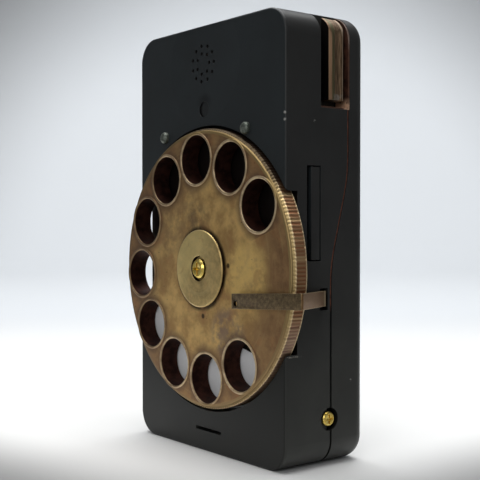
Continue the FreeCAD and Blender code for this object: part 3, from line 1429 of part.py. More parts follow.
# ---------------------------------------------------------------------------------------
# Volume rocker, its pivot and its switches
# ---------------------------------------------------------------------------------------
def make_rocker():
    middle = ROCKER_MIDDLE
    front, back = depth(s.rocker_front_depth), depth(s.rocker_back_depth)
    half = s.rocker_length / 2
    centre = (front + back) / 2
    skin = ROCKER_FACE - s.rocker_skin
    bar = box("rocker_bar", (skin, ROCKER_FACE), (front, back), (middle - half, middle + half))
    lug_half = s.rocker_lug_height / 2
    lug = box("rocker_lug", (ROCKER_PIN_X - s.rocker_lug_reach, skin + JOIN),
              (front + s.rocker_lug_gap, back - s.rocker_lug_gap),
              (middle - lug_half, middle + lug_half))
    pads = [
        cylinder(f"rocker_pad_{'low' if end < 0 else 'high'}", s.rocker_pad_radius,
                 skin - ROCKER_PAD_X + JOIN, ROCKER_PAD_X, centre,
                 middle + end * s.rocker_pad_spacing, "+x")
        for end in (-1, 1)
    ]
    bore = cylinder("rocker_bore", s.rocker_pin_radius + s.running_gap,
                    back - front + 2 * THROUGH, ROCKER_PIN_X, front - THROUGH, middle)
    rocker = cut("volume_rocker", fuse("rocker_solid", bar, lug, *pads), bore)

    board_face = KEY_BOARD_X + s.key_board_thickness
    ear_front = (front - s.bracket_wall, front + s.rocker_lug_gap / 4)
    ear_back = (back - s.rocker_lug_gap / 4, back + s.bracket_wall)
    ear_tip = ROCKER_PIN_X + s.rocker_pin_radius + s.rocker_lug_gap
    ears = [
        box(f"bracket_ear_{index}", (board_face, ear_tip), levels,
            (middle - lug_half, middle + lug_half))
        for index, levels in enumerate((ear_front, ear_back))
    ]
    base_half = s.bracket_height / 2
    base = box("bracket_base", (board_face, board_face + s.bracket_base),
               (ear_front[0], ear_back[1]), (middle - base_half, middle + base_half))
    pin_length = ear_back[1] - ear_front[0]
    pin_hole = cylinder("bracket_hole", s.rocker_pin_radius, pin_length + 2 * THROUGH,
                        ROCKER_PIN_X, ear_front[0] - THROUGH, middle)
    bracket = cut("rocker_bracket", fuse("bracket_solid", base, *ears), pin_hole)
    pin = cylinder("rocker_pin", s.rocker_pin_radius, pin_length, ROCKER_PIN_X,
                   ear_front[0], middle)

    board_half = s.key_board_length / 2
    board = box("key_board", (KEY_BOARD_X, board_face),
                (FLOOR_BACK + s.key_board_gap, depth(KEY_BOARD_BACK_DEPTH)),
                (middle - board_half, middle + board_half))
    switches = []
    for end in (-1, 1):
        z = middle + end * s.rocker_pad_spacing
        tag = "low" if end < 0 else "high"
        body = box(f"rocker_switch_body_{tag}", (board_face, board_face + s.switch_height),
                   (centre - s.switch_body / 2, centre + s.switch_body / 2),
                   (z - s.switch_body / 2, z + s.switch_body / 2))
        plunger = cylinder(f"rocker_switch_plunger_{tag}", s.plunger_radius,
                           s.plunger_height + JOIN, board_face + s.switch_height - JOIN,
                           centre, z, "+x")
        switches.append(fuse(f"rocker_switch_{tag}", body, plunger))
    return [rocker, bracket, pin, board, group("rocker_switches", *switches)]


# ---------------------------------------------------------------------------------------
# Sprung key in the notch
# ---------------------------------------------------------------------------------------
# Where the flat between the key's two ridges starts, in ridge heights from its edge
KEY_VALLEY = 2.6


def make_side_key():
    foot = NOTCH_BOTTOM + s.liner_thickness + s.key_foot_gap
    face = SIDE - s.key_sink
    front, back = depth(KEY_FRONT_DEPTH), depth(KEY_BACK_DEPTH)
    ridge = s.key_ridge
    valley = ridge * KEY_VALLEY
    body = new_body("key_bar")
    sketch = new_sketch(body, "key_bar_outline", "XY_Plane", foot)
    draw_polygon(sketch, [
        (KEY_INNER, front), (face - ridge, front), (face, front + ridge),
        (face, front + 2 * ridge), (face - ridge / 2, front + valley),
        (face - ridge / 2, back - valley), (face, back - 2 * ridge), (face, back - ridge),
        (face - ridge, back), (KEY_INNER, back),
    ])
    pad(body, "key_bar_pad", sketch, CASE_HEIGHT - foot)
    limit = case_solid("key_limit", s.key_sink)
    outer_wall = NOTCH_FLOOR - s.notch_wall
    head_end = outer_wall - s.key_stem_head_gap
    head_start = head_end - s.key_stem_head_thickness
    stem = cylinder("key_stem", s.key_stem_radius, KEY_INNER - head_start + JOIN,
                    head_start, depth(KEY_DEPTH_MIDDLE), KEY_MIDDLE, "+x")
    head = cylinder("key_stem_head", s.key_stem_head_radius, head_end - head_start,
                    head_start, depth(KEY_DEPTH_MIDDLE), KEY_MIDDLE, "+x")
    key = fuse("side_key", common("key_rounded", body, limit), stem, head)

    plunger_tip = head_start - s.key_travel - s.plunger_gap
    half = s.switch_body / 2
    body_end = plunger_tip - s.plunger_height
    switch_box = box("key_switch_body", (body_end - s.switch_body, body_end),
                     (depth(BOARD_DEPTH) + s.board_thickness, depth(KEY_DEPTH_MIDDLE) + half),
                     (KEY_MIDDLE - half, KEY_MIDDLE + half))
    plunger = cylinder("key_switch_plunger", s.plunger_radius, s.plunger_height + JOIN,
                       body_end - JOIN, depth(KEY_DEPTH_MIDDLE), KEY_MIDDLE, "+x")
    return [key, fuse("side_key_switch", switch_box, plunger)]


# ---------------------------------------------------------------------------------------
# Side screws, electronics, battery
# ---------------------------------------------------------------------------------------
def make_side_screws():
    pieces = []
    for side, axis in ((1, "+x"), (-1, "-x")):
        tag = "right" if side > 0 else "left"
        seat = side * (SIDE - s.side_counterbore_depth)
        pieces.append(screw(
            f"side_screw_{tag}", s.side_screw_head_radius,
            s.side_counterbore_depth - s.side_screw_sink,
            s.side_screw_radius, s.side_screw_length - s.side_counterbore_depth, seat,
            depth(SIDE_SCREW_DEPTH), s.side_screw_height, axis))
    return pieces


def make_main_board():
    start = depth(BOARD_DEPTH)
    back = start + s.board_thickness
    blank = box("main_board_blank", (-BOARD_LEFT, BOARD_RIGHT), (start, back),
                (BOARD_BOTTOM, BOARD_TOP))
    reach = s.board_thickness + 2 * THROUGH
    holes = [cylinder(f"main_board_hole_{index}", PILOT_RADIUS, reach, x, start - THROUGH, z)
             for index, (x, z) in enumerate(BOARD_POSTS)]
    board = cut("main_board", blank, *holes)
    screws = [
        screw(f"board_screw_{index}", s.machine_head_radius, s.machine_head_height,
              s.machine_screw_radius, s.machine_screw_length, x, back, z, "+y")
        for index, (x, z) in enumerate(BOARD_POSTS)
    ]
    shield_left = -BOARD_LEFT + s.shield_inset
    card_left = -BOARD_LEFT + s.sim_inset
    card_low = BOARD_BOTTOM + s.sim_lift
    shield_low = card_low + s.sim_height + s.shield_gap
    shield = box("radio_shield", (shield_left, shield_left + s.shield_width),
                 (back, back + s.shield_rise), (shield_low, BOARD_TOP - s.shield_drop))
    card = box("sim_holder", (card_left, card_left + s.sim_width), (back, back + s.sim_rise),
               (card_low, card_low + s.sim_height))
    plug_right = BOARD_RIGHT - s.plug_inset
    plug_low = BOARD_BOTTOM + s.plug_lift
    plug = box("battery_connector", (plug_right - s.plug_width, plug_right),
               (back, back + s.plug_rise), (plug_low, plug_low + s.plug_height))
    return [board, group("board_screws", *screws), shield, card, plug]


def make_power():
    half = SIDE - s.battery_side_gap
    foam_back = BACK - s.wall
    battery_back = foam_back - s.foam_thickness
    low, high = s.battery_bottom, s.battery_bottom + s.battery_height
    battery = box("battery", (-half, half), (battery_back - s.battery_thickness, battery_back),
                  (low, high))
    foam = box("battery_pad", (-half + s.foam_inset, half - s.foam_inset),
               (battery_back, foam_back), (low + s.foam_inset, high - s.foam_inset))
    port_half = s.port_width / 2
    port_start = depth(PORT_DEPTH)
    port_back = port_start + s.port_height
    port_middle = port_start + s.port_height / 2
    shell = box("port_shell", (-port_half, port_half), (port_start, port_back),
                (s.port_sink, s.port_length))
    mouth = box("port_mouth", (-port_half + s.port_wall, port_half - s.port_wall),
                (port_start + s.port_wall, port_back - s.port_wall),
                (-THROUGH, s.port_length - s.port_wall))
    tongue = box("port_tongue", (-s.tongue_width / 2, s.tongue_width / 2),
                 (port_middle - s.tongue_thickness / 2, port_middle + s.tongue_thickness / 2),
                 (s.tongue_sink, s.port_length - JOIN))
    port = fuse("charge_port", cut("port_can", shell, mouth), tongue)
    board_half = s.charge_board_width / 2
    port_board = box("charge_board", (-board_half, board_half),
                     (port_back, port_back + s.charge_board_thickness),
                     (s.wall, s.battery_bottom - s.charge_board_gap))
    return [battery, foam, port, port_board]


def make_small_parts():
    """The antenna carrier hangs from the top wall; the motor sits behind the recess floor."""
    ceiling = CASE_HEIGHT - s.wall
    antenna = box("antenna_carrier", (-ANTENNA_LEFT, ANTENNA_RIGHT),
                  (depth(s.antenna_depth), depth(s.antenna_depth) + s.antenna_thickness),
                  (ceiling - s.antenna_height, ceiling))
    motor = cylinder("vibration_motor", s.motor_radius, s.motor_thickness, -s.motor_offset,
                     FLOOR_BACK, s.motor_height)
    return [antenna, motor]


# ---------------------------------------------------------------------------------------
# Build, check and write
# ---------------------------------------------------------------------------------------
NODES = []
NODES.extend(make_case())
NODES.append(make_dial_plate())
NODES.append(make_rim_band())
NODES.extend(make_hub())
NODES.extend(make_gears())
NODES.append(make_stop_block())
NODES.append(make_return_spring())
NODES.extend(make_spring_fixings())
NODES.append(make_pulse_disc())
NODES.append(make_pulse_sensor())
NODES.extend(make_governor())
NODES.extend(make_mechanism_plate())
NODES.extend(make_finger_stop())
NODES.append(make_number_plate())
NODES.extend(make_pegs())
NODES.extend(make_receiver())
NODES.extend(make_sensor())
NODES.extend(make_microphone())
NODES.extend(make_rocker())
NODES.extend(make_side_key())
NODES.extend(make_side_screws())
NODES.extend(make_main_board())
NODES.extend(make_power())
NODES.extend(make_small_parts())
DOC.recompute()

for item in DOC.Objects:
    if "Invalid" in item.State or "Error" in item.State:
        raise RuntimeError(f"{item.Name} failed to build: {item.State}")
for node in NODES:
    if node.Shape.isNull() or not node.Shape.isValid() or not node.Shape.Solids:
        raise RuntimeError(f"{node.Label} has no valid solid")

os.makedirs("parts", exist_ok=True)
for node in NODES:
    node.Shape.exportStep(f"parts/{node.Label}.step")
print(len(NODES), "nodes written")
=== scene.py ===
import bpy
import bmesh
import math
from mathutils import Matrix, Vector


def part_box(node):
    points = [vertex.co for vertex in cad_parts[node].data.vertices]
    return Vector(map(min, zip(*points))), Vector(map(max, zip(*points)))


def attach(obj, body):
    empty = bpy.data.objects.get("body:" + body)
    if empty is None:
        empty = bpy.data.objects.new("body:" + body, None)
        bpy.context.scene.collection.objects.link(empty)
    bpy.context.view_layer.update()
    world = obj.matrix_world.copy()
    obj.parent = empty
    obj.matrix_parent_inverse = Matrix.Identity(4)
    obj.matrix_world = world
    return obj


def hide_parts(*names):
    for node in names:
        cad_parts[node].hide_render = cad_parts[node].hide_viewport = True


# Looks of a hand-held telephone with a bronze rotary dial.
# Places and sizes are metres in the frame's own axes: +Z up, the dial faces -Y.
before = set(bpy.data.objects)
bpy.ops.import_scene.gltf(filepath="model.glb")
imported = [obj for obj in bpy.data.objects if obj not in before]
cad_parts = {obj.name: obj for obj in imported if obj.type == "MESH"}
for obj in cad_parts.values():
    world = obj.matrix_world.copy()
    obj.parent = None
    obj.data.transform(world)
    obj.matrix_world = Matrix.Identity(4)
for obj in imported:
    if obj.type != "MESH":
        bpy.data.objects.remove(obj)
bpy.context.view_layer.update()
MM = 0.001

# ---------------------------------------------------------------------------------------
# Places read from the frame
# ---------------------------------------------------------------------------------------
DIAL_LOW, DIAL_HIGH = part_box("dial_plate")
RIM_LOW, RIM_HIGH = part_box("rim_band")
CAP_LOW, CAP_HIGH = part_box("hub_cap")
CASE_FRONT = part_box("front_shell")[0].y
DIAL_Z = (RIM_LOW.z + RIM_HIGH.z) / 2
DIAL_RADIUS = (RIM_HIGH.z - RIM_LOW.z) / 2
DIAL_BACK = RIM_HIGH.y
COLLAR_BACK = DIAL_HIGH.y
LIP_FRONT = DIAL_LOW.y
LENS_LOW, LENS_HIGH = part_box("sensor_lens")
SENSOR = (LENS_LOW + LENS_HIGH) / 2
# The case's flat front lies as far forward as its back lies behind
CASE_FACE = -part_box("rear_shell")[1].y

# Dial details; KNURL_WEAR is the share of the knurls' depth that wear takes in places
LIP_RISE = 0.25 * MM
LIP_WIDTH = 0.8 * MM
COLLAR_WIDTH = 0.8 * MM
DIAL_FRONT = LIP_FRONT + LIP_RISE
HOLE_RADIUS = 6.8 * MM
HOLE_CIRCLE = 30.4 * MM
HOLE_COUNT = 10
HOLE_FIRST = math.radians(34.5)
HOLE_PITCH = math.radians(30)
DRILL_RADIUS = HOLE_RADIUS + 0.1 * MM
KNURLS = 240
KNURL_DEPTH = 0.22 * MM
KNURL_WEAR = 0.3
RIM_BEVEL = 0.6 * MM
RIM_BEVEL_DEPTH = 1.15 * MM
FACE_RADIUS = DIAL_RADIUS - RIM_BEVEL

# Places of marks, in millimetres, as the materials count
SILL_Z = 29.7  # lower edge of the opening that bares the dial at the side
RECESS_RADIUS = 40.5
CASE_CHIPS = ((33.3, -14.2, 91.5), (33.3, -14.2, 89.8), (33.9, -4.4, 89.9), (33.9, 8.6, 22.0))
DIAL_PITS = ((12.4, 1.2), (1.0, -13.1))  # across and up from the dial's middle
STOP_DIMPLE_X, STOP_DIMPLE_Z = 17.8, 42.6

# Camera: direction of view, distance from the middle of the dial's front, and the shift
# of the dial's middle from the centre of the picture, found from the object's own edges.
AZIMUTH = math.radians(51.918)
ELEVATION = math.radians(0.980)
DISTANCE = 266.51 * MM
SIDE_SHIFT = 10.853 * MM
UP_SHIFT = 7.931 * MM
FOCAL_PIXELS = 961.34
PICTURE_PIXELS = 480.0


# ---------------------------------------------------------------------------------------
# Shader arithmetic: a Signal is a socket that can be combined with + - * /
# ---------------------------------------------------------------------------------------
class Signal:
    """A number that a node puts out at each point of a surface."""

    def __init__(self, tree, socket):
        self.tree = tree
        self.socket = socket

    def math(self, operation, *values):
        """What a math node makes of this signal and further signals or numbers."""
        node = self.tree.nodes.new("ShaderNodeMath")
        node.operation = operation
        for index, value in enumerate((self,) + values):
            self.tree.feed(node.inputs[index], value)
        return Signal(self.tree, node.outputs[0])

    def __add__(self, other):
        return self.math("ADD", other)

    def __radd__(self, other):
        return self.math("ADD", other)

    def __sub__(self, other):
        return self.math("SUBTRACT", other)

    def __mul__(self, other):
        return self.math("MULTIPLY", other)

    def __truediv__(self, other):
        return self.math("DIVIDE", other)

    def between(self, low, high):
        """0 below low, 1 above high, smooth in between (low may be the larger)."""
        node = self.tree.nodes.new("ShaderNodeMapRange")
        node.interpolation_type = "SMOOTHSTEP"
        node.inputs["From Min"].default_value = low
        node.inputs["From Max"].default_value = high
        self.tree.feed(node.inputs["Value"], self)
        return Signal(self.tree, node.outputs["Result"])


def length(first, *others):
    """Length of the step that has these signals as its parts."""
    total = first * first
    for part in others:
        total = total + part * part
    return total.math("SQRT")


def within(signal, low, high, soft):
    """1 where the signal lies between low and high, 0 from this far outside."""
    return signal.between(low - soft, low) * signal.between(high + soft, high)


class Finish:
    """One material: a Principled shader and the signals that drive it."""

    def __init__(self, name):
        self.material = bpy.data.materials.new(name)
        self.material.use_nodes = True
        self.nodes = self.material.node_tree.nodes
        self.links = self.material.node_tree.links
        self.shader = self.nodes["Principled BSDF"]
        self.texture = self.nodes.new("ShaderNodeTexCoord")
        scale = self.nodes.new("ShaderNodeVectorMath")
        scale.operation = "SCALE"
        scale.inputs["Scale"].default_value = 1 / MM
        self.links.new(self.texture.outputs["Object"], scale.inputs[0])
        self.place = scale.outputs[0]

    def feed(self, socket, value):
        """Give a socket a signal, a colour, a number or another node's output."""
        if isinstance(value, Signal):
            self.links.new(value.socket, socket)
        elif isinstance(value, tuple):
            socket.default_value = value if len(value) == 4 else (*value, 1.0)
        elif isinstance(value, (int, float)):
            socket.default_value = value
        else:
            self.links.new(value, socket)

    def axes(self):
        """x, y and z in millimetres."""
        node = self.nodes.new("ShaderNodeSeparateXYZ")
        self.links.new(self.place, node.inputs[0])
        return [Signal(self, output) for output in node.outputs]

    def stretched(self, x, y, z):
        """The place with scaled axes: a small factor draws a noise out along its axis."""
        node = self.nodes.new("ShaderNodeVectorMath")
        node.operation = "MULTIPLY"
        self.links.new(self.place, node.inputs[0])
        node.inputs[1].default_value = (x, y, z)
        return node.outputs[0]

    def joined(self, x, y, z):
        """A place made of three signals or numbers."""
        node = self.nodes.new("ShaderNodeCombineXYZ")
        for socket, value in zip(node.inputs, (x, y, z)):
            self.feed(socket, value)
        return node.outputs[0]

    def noise(self, scale, detail=3.0, roughness=0.55, vector=None, distortion=0.0):
        """Clouds from 0 to 1, about this many to the millimetre."""
        node = self.nodes.new("ShaderNodeTexNoise")
        node.inputs["Scale"].default_value = scale
        node.inputs["Detail"].default_value = detail
        node.inputs["Roughness"].default_value = roughness
        node.inputs["Distortion"].default_value = distortion
        self.links.new(vector or self.place, node.inputs["Vector"])
        return Signal(self, node.outputs["Fac"])

    def cells(self, scale):
        """Distance to the nearest of scattered points, in cell sizes."""
        node = self.nodes.new("ShaderNodeTexVoronoi")
        node.inputs["Scale"].default_value = scale
        self.links.new(self.place, node.inputs["Vector"])
        return Signal(self, node.outputs["Distance"])

    def rounded(self, radius):
        """The surface's direction, with edges rounded at this radius in millimetres."""
        bevel = self.nodes.new("ShaderNodeBevel")
        bevel.samples = 6
        bevel.inputs["Radius"].default_value = radius * MM
        return bevel.outputs[0]

    def edge(self, radius):
        """1 on an edge, 0 on a flat, for edges rounded at this radius in millimetres."""
        geometry = self.nodes.new("ShaderNodeNewGeometry")
        dot = self.nodes.new("ShaderNodeVectorMath")
        dot.operation = "DOT_PRODUCT"
        self.links.new(self.rounded(radius), dot.inputs[0])
        self.links.new(geometry.outputs["Normal"], dot.inputs[1])
        return Signal(self, dot.outputs["Value"]).between(0.995, 0.86)

    def near(self, x, y, z, reach):
        """1 round a point given in millimetres, 0 beyond its reach."""
        offsets = [axis - middle for axis, middle in zip(self.axes(), (x, y, z))]
        return length(*offsets).between(reach, reach * 0.5)

    def facing(self):
        """x, y and z of the surface's direction, each as 0 to 1 in size."""
        node = self.nodes.new("ShaderNodeSeparateXYZ")
        self.links.new(self.texture.outputs["Normal"], node.inputs[0])
        return [Signal(self, output).math("ABSOLUTE") for output in node.outputs]

    def mix(self, share, first, second):
        """The first colour at a share of 0, the second at 1."""
        node = self.nodes.new("ShaderNodeMix")
        node.data_type = "RGBA"
        self.feed(node.inputs[0], share)
        self.feed(node.inputs[6], first)
        self.feed(node.inputs[7], second)
        return node.outputs[2]

    def bump(self, height, distance, strength, rounding=0.0):
        """Small relief: height 0 to 1 stands for this many millimetres."""
        node = self.nodes.new("ShaderNodeBump")
        node.inputs["Distance"].default_value = distance * MM
        node.inputs["Strength"].default_value = strength
        self.feed(node.inputs["Height"], height)
        if rounding:
            self.links.new(self.rounded(rounding), node.inputs["Normal"])
        self.links.new(node.outputs[0], self.shader.inputs["Normal"])

    def finish(self, colour, roughness, metallic=0.0, **settings):
        """The material, with further shader inputs named by keyword."""
        self.feed(self.shader.inputs["Base Color"], colour)
        self.feed(self.shader.inputs["Roughness"], roughness)
        self.shader.inputs["Metallic"].default_value = metallic
        for name, value in settings.items():
            self.shader.inputs[name.replace("_", " ")].default_value = value
        return self.material


# ---------------------------------------------------------------------------------------
# Materials
# ---------------------------------------------------------------------------------------
def shell_material():
    """Satin black moulding with a fine grain, dust, wear on its edges, painted light and shade
    from bottom to top, painted shade in its hollows, and painted highlights and a painted dark
    reflection on some edges.
    """
    f = Finish("satin_black_shell")
    x, y, z = f.axes()
    facing_x, facing_y, _ = f.facing()
    grain = f.noise(7.0, 2.0)
    cloud = f.noise(0.06, 4.0)
    dust = f.cells(0.55).between(0.07, 0.03) * f.noise(0.12).between(0.5, 0.62)
    rub = f.noise(0.8, 5.0, 0.7)
    edge = f.edge(0.35)
    # Painted light and shade: front and flanks each graded from a tone at the bottom to a tone at
    # the top, the flanks lighter
    front = f.mix(z.between(10.0, 70.0), (0.0102, 0.0106, 0.0086), (0.0220, 0.0268, 0.0290))
    flank = f.mix(z.between(10.0, 70.0), (0.046, 0.047, 0.042), (0.0310, 0.0310, 0.0302))
    base = f.mix(facing_x.between(0.4, 0.8), front, flank)
    base = f.mix(cloud.between(0.35, 0.65) * 0.25, base, (0.012, 0.0125, 0.0125))
    # Painted shade in the hollows: the sensor's well and the floor of the dial's recess
    face = CASE_FACE / MM
    well = f.near(SENSOR.x / MM, SENSOR.y / MM, SENSOR.z / MM, 5.0)
    base = f.mix(well * y.between(face + 0.1, face + 0.3), base, (0.001, 0.001, 0.001))
    from_axis = length(x, z - DIAL_Z / MM)
    sunk = from_axis.between(RECESS_RADIUS, RECESS_RADIUS - 0.5) * within(y, -13.0, -6.5, 0.3)
    base = f.mix(sunk * facing_y.between(0.6, 0.9), base, (0.004, 0.0025, 0.002))
    # Dust, and edges rubbed grey
    colour = f.mix(dust * 0.25, base, (0.20, 0.20, 0.19))
    colour = f.mix(edge * rub.between(0.58, 0.70) * 0.35, colour, (0.19, 0.18, 0.16))
    # Painted dark reflection on the edge beside the flank; wear and a painted highlight on the
    # upper corner and on the sill below the dial
    crease = edge * x.between(32.4, 32.9) * y.between(-13.0, -13.6)
    colour = f.mix(crease * rub.between(0.62, 0.5) * 0.85, colour, (0.002, 0.002, 0.002))
    corner = x.between(27.0, 30.0) * z.between(110.5, 112.5) * y.between(-12.6, -13.4)
    colour = f.mix(edge * corner * rub.between(0.35, 0.6) * 0.7, colour, (0.26, 0.26, 0.24))
    sill = within(z, SILL_Z - 0.05, SILL_Z + 0.2, 0.12) * x.between(30.5, 31.5)
    sill = sill * y.between(-8.5, -9.8)
    colour = f.mix(sill * rub.between(0.42, 0.62) * 0.8, colour, (0.36, 0.33, 0.28))
    for place in CASE_CHIPS:
        colour = f.mix(f.near(*place, 0.5) * rub.between(0.45, 0.55), colour, (0.34, 0.33, 0.31))
    f.bump(grain, 0.010, 0.4, rounding=0.18)
    return f.finish(colour, cloud * 0.12 + 0.36, Specular_IOR_Level=0.28)


def dial_signals(f):
    """Distance from the dial's axis, the turn about it, and distance from a hole's middle."""
    x, _, z = f.axes()
    z = z - DIAL_Z / MM
    angle = z.math("ARCTAN2", x)
    nearest = ((angle - HOLE_FIRST) / HOLE_PITCH).math("ROUND") * HOLE_PITCH + HOLE_FIRST
    circle = HOLE_CIRCLE / MM
    across = x - nearest.math("COSINE") * circle
    along = z - nearest.math("SINE") * circle
    # Two places of the circle have no hole: what lies there counts as far from all
    gap_low = HOLE_FIRST - 2.5 * HOLE_PITCH
    gap_high = HOLE_FIRST - 0.5 * HOLE_PITCH
    gap = angle.between(gap_low - 0.001, gap_low) * angle.between(gap_high, gap_high - 0.001)
    return length(x, z), angle, length(across, along) + gap * 30.0


def rim_tone(f, radius, angle):
    """Colour of the dial's edge: a bead, then the knurled band, with bright crests."""
    x, y, _ = f.axes()
    front, back = DIAL_FRONT / MM, DIAL_BACK / MM
    lower_right = angle.between(math.radians(-14), math.radians(-26))
    # The bead in front and the band behind it
    ribs = f.noise(1.0, 3.0, 0.6, vector=f.joined(angle * 16.0, 0.0, 0.0)).between(0.5, 0.64)
    band = f.mix(ribs * 0.7, (0.31, 0.138, 0.064), (0.56, 0.41, 0.21))
    band = f.mix(lower_right * 0.8, band, (0.36, 0.235, 0.175))
    bead = f.mix(y.between(front + 0.35, front + 0.6), (0.40, 0.28, 0.12), (0.68, 0.50, 0.23))
    bead = f.mix(lower_right * 0.6, bead, (0.34, 0.22, 0.11))
    tone = f.mix(y.between(front + 1.0, front + 1.3), bead, band)
    # Bright lines: where the band begins, on the knurls' crests and at the back
    shoulder = within(y, front + 1.05, front + 1.25, 0.15)
    tone = f.mix(shoulder * 0.7, tone, (0.92, 0.72, 0.42))
    crest = radius.between(DIAL_RADIUS / MM - 0.14, DIAL_RADIUS / MM - 0.01)
    crest = crest * y.between(front + 1.2, front + 1.4)
    tone = f.mix(crest * 0.25, tone, (0.60, 0.47, 0.27))
    tone = f.mix(y.between(back - 0.55, back - 0.3), tone, (0.76, 0.62, 0.38))
    # Painted shade where the case overhangs it and on the far side
    covered = angle.between(math.radians(27), math.radians(40))
    covered = covered * y.between(front + 0.3, front + 0.6)
    tone = f.mix(covered * 0.9, tone, (0.03, 0.018, 0.012))
    return f.mix(x.between(-4.0, -16.0) * 0.7, tone, (0.20, 0.125, 0.06))


def dial_material():
    """Aged bronze: gold-brown in the middle, darker towards the holes, bright worn lips, with a
    painted highlight right of the middle and painted shade to the left.
    """
    f = Finish("aged_bronze_dial")
    radius, angle, from_hole = dial_signals(f)
    x, y, _ = f.axes()
    hole = HOLE_RADIUS / MM
    front = DIAL_FRONT / MM
    lip_front = LIP_FRONT / MM
    cloud = f.noise(0.13, 5.0, 0.6)
    blotch = f.noise(0.35, 5.0, 0.65)
    streak = f.noise(1.0, 4.0, 0.6, vector=f.joined(radius * 0.9, angle * 2.5, 0.0))
    grain = f.noise(4.5, 3.0, 0.6)

    def patch(across, up, reach):
        """1 round a point of the face, counted from the dial's middle."""
        return f.near(across, front, DIAL_Z / MM + up, reach)

    # The face: gold in the middle, brown outside, with broad patches of patina, a painted
    # highlight right of the middle and painted shade to the left and upper left
    gold = f.mix(cloud.between(0.38, 0.62), (0.52, 0.315, 0.118), (0.82, 0.55, 0.21))
    brown = f.mix(blotch.between(0.3, 0.7), (0.225, 0.118, 0.060), (0.39, 0.228, 0.105))
    outer = (radius + (blotch - 0.5) * 14.0).between(22.5, 32.0)
    face = f.mix(outer * 0.85, gold, brown)
    # Painted highlight right of the middle
    bright = patch(20.0, -1.0, 11.0) * blotch.between(0.3, 0.6)
    face = f.mix(bright * 0.8, face, (0.96, 0.68, 0.24))
    # Painted shade towards the left and on the upper left
    face = f.mix(x.between(-10.0, -24.0) * 0.2, face, (0.28, 0.165, 0.085))
    dull = patch(-14.0, 16.0, 18.0) * blotch.between(0.3, 0.6)
    face = f.mix(dull * 0.45, face, (0.27, 0.165, 0.095))
    lilac = patch(12.0, -17.0, 9.0) * blotch.between(0.35, 0.6)
    face = f.mix(lilac * 0.75, face, (0.28, 0.195, 0.155))
    # Dirt round the holes and below the top; round the cap, grime and a painted contact shadow
    halo = (from_hole + (blotch - 0.5) * 1.5).between(hole + 3.4, hole + 0.6)
    face = f.mix(halo * 0.72, face, (0.17, 0.098, 0.058))
    smudge = patch(-1.0, 13.0, 6.5) * blotch.between(0.35, 0.6)
    face = f.mix(smudge * 0.45, face, (0.17, 0.125, 0.07))
    # Grime and a painted contact shadow round the cap's foot
    grime_and_shadow = (radius + (cloud - 0.5) * 0.8).between(12.2, 11.0)
    face = f.mix(grime_and_shadow * 0.9, face, (0.022, 0.014, 0.008))
    # Reddish clouds, rubbed streaks, pits and grain
    warm = f.noise(0.22, 3.0, 0.5, distortion=0.6).between(0.56, 0.72)
    face = f.mix(warm * 0.4, face, (0.46, 0.22, 0.09))
    face = f.mix(streak.between(0.5, 0.8) * 0.25, face, (0.66, 0.50, 0.23))
    pits = f.cells(0.42).between(0.085, 0.05) * f.noise(0.3).between(0.48, 0.56)
    for across, up in DIAL_PITS:
        pits = pits.math("MAXIMUM", patch(across, up, 0.9))
    face = f.mix(pits * 0.85, face, (0.03, 0.018, 0.012))
    face = f.mix(grain.between(0.55, 0.8) * 0.25, face, (0.14, 0.09, 0.045))
    # Lips round the holes, with painted shade on the left and a painted highlight on the right
    lip = from_hole.between(hole + LIP_WIDTH / MM + 0.05, hole + 0.55)
    lip_tone = f.mix(blotch.between(0.35, 0.65), (0.42, 0.29, 0.17), (0.76, 0.59, 0.36))
    lip_tone = f.mix(x.between(-14.0, -26.0) * 0.75, lip_tone, (0.23, 0.14, 0.07))
    lip_tone = f.mix(x.between(14.0, 26.0) * 0.6, lip_tone, (0.86, 0.68, 0.42))
    face = f.mix(lip, face, lip_tone)
    # Linings of the holes, oxidised to a dark red
    wall = from_hole.between(hole + 0.12, hole + 0.03)
    wall = wall * y.between(lip_front + 0.12, lip_front + 0.5)
    lining = f.mix(blotch.between(0.35, 0.65), (0.022, 0.007, 0.005), (0.062, 0.021, 0.013))
    face = f.mix(wall, face, lining)
    face = f.mix(radius.between(FACE_RADIUS / MM - 1.05, FACE_RADIUS / MM - 0.8), face,
                 rim_tone(f, radius, angle))
    f.bump(grain * 0.35 + blotch * 0.65, 0.03, 0.55)
    rough = 0.50 + (blotch - 0.5) * 0.35 + wall * 0.2 - lip * 0.12
    return f.finish(face, rough, metallic=0.82)


def cap_material():
    """The hub cap: duller bronze with faint turning marks, painted light on its upper left, a side
    darkened by patina and painted shade, and a painted highlight on its left edge.
    """
    f = Finish("aged_bronze_cap")
    radius, angle, _ = dial_signals(f)
    x, _, z = f.axes()
    _, facing_y, _ = f.facing()
    blotch = f.noise(0.5, 5.0, 0.65)
    rings = f.noise(1.0, 2.0, 0.5, vector=f.joined(radius * 3.0, angle * 0.3, 0.0))
    face = f.mix(blotch.between(0.3, 0.7), (0.46, 0.325, 0.13), (0.72, 0.53, 0.225))
    # Painted light on the upper left of the cap's face
    upper_left_light = (z - DIAL_Z / MM - x).between(-4.0, 8.0)
    face = f.mix(upper_left_light * 0.55, face, (0.98, 0.78, 0.33))
    face = f.mix(rings.between(0.45, 0.75) * 0.35, face, (0.74, 0.60, 0.30))
    warm = f.noise(0.35, 3.0, 0.5, distortion=0.6).between(0.6, 0.72)
    face = f.mix(warm * 0.3, face, (0.50, 0.27, 0.11))
    # Patina and painted shade on the cap's side
    face = f.mix(facing_y.between(0.55, 0.15), face, (0.018, 0.010, 0.006))
    # Painted highlight on the rounded edge at the left
    rounding = facing_y.between(0.99, 0.9) * facing_y.between(0.5, 0.75)
    face = f.mix(rounding * x.between(6.0, -4.0) * 0.8, face, (0.72, 0.57, 0.30))
    f.bump(rings * 0.5 + blotch * 0.5, 0.02, 0.5)
    return f.finish(face, 0.46 + (blotch - 0.5) * 0.3, metallic=0.82)


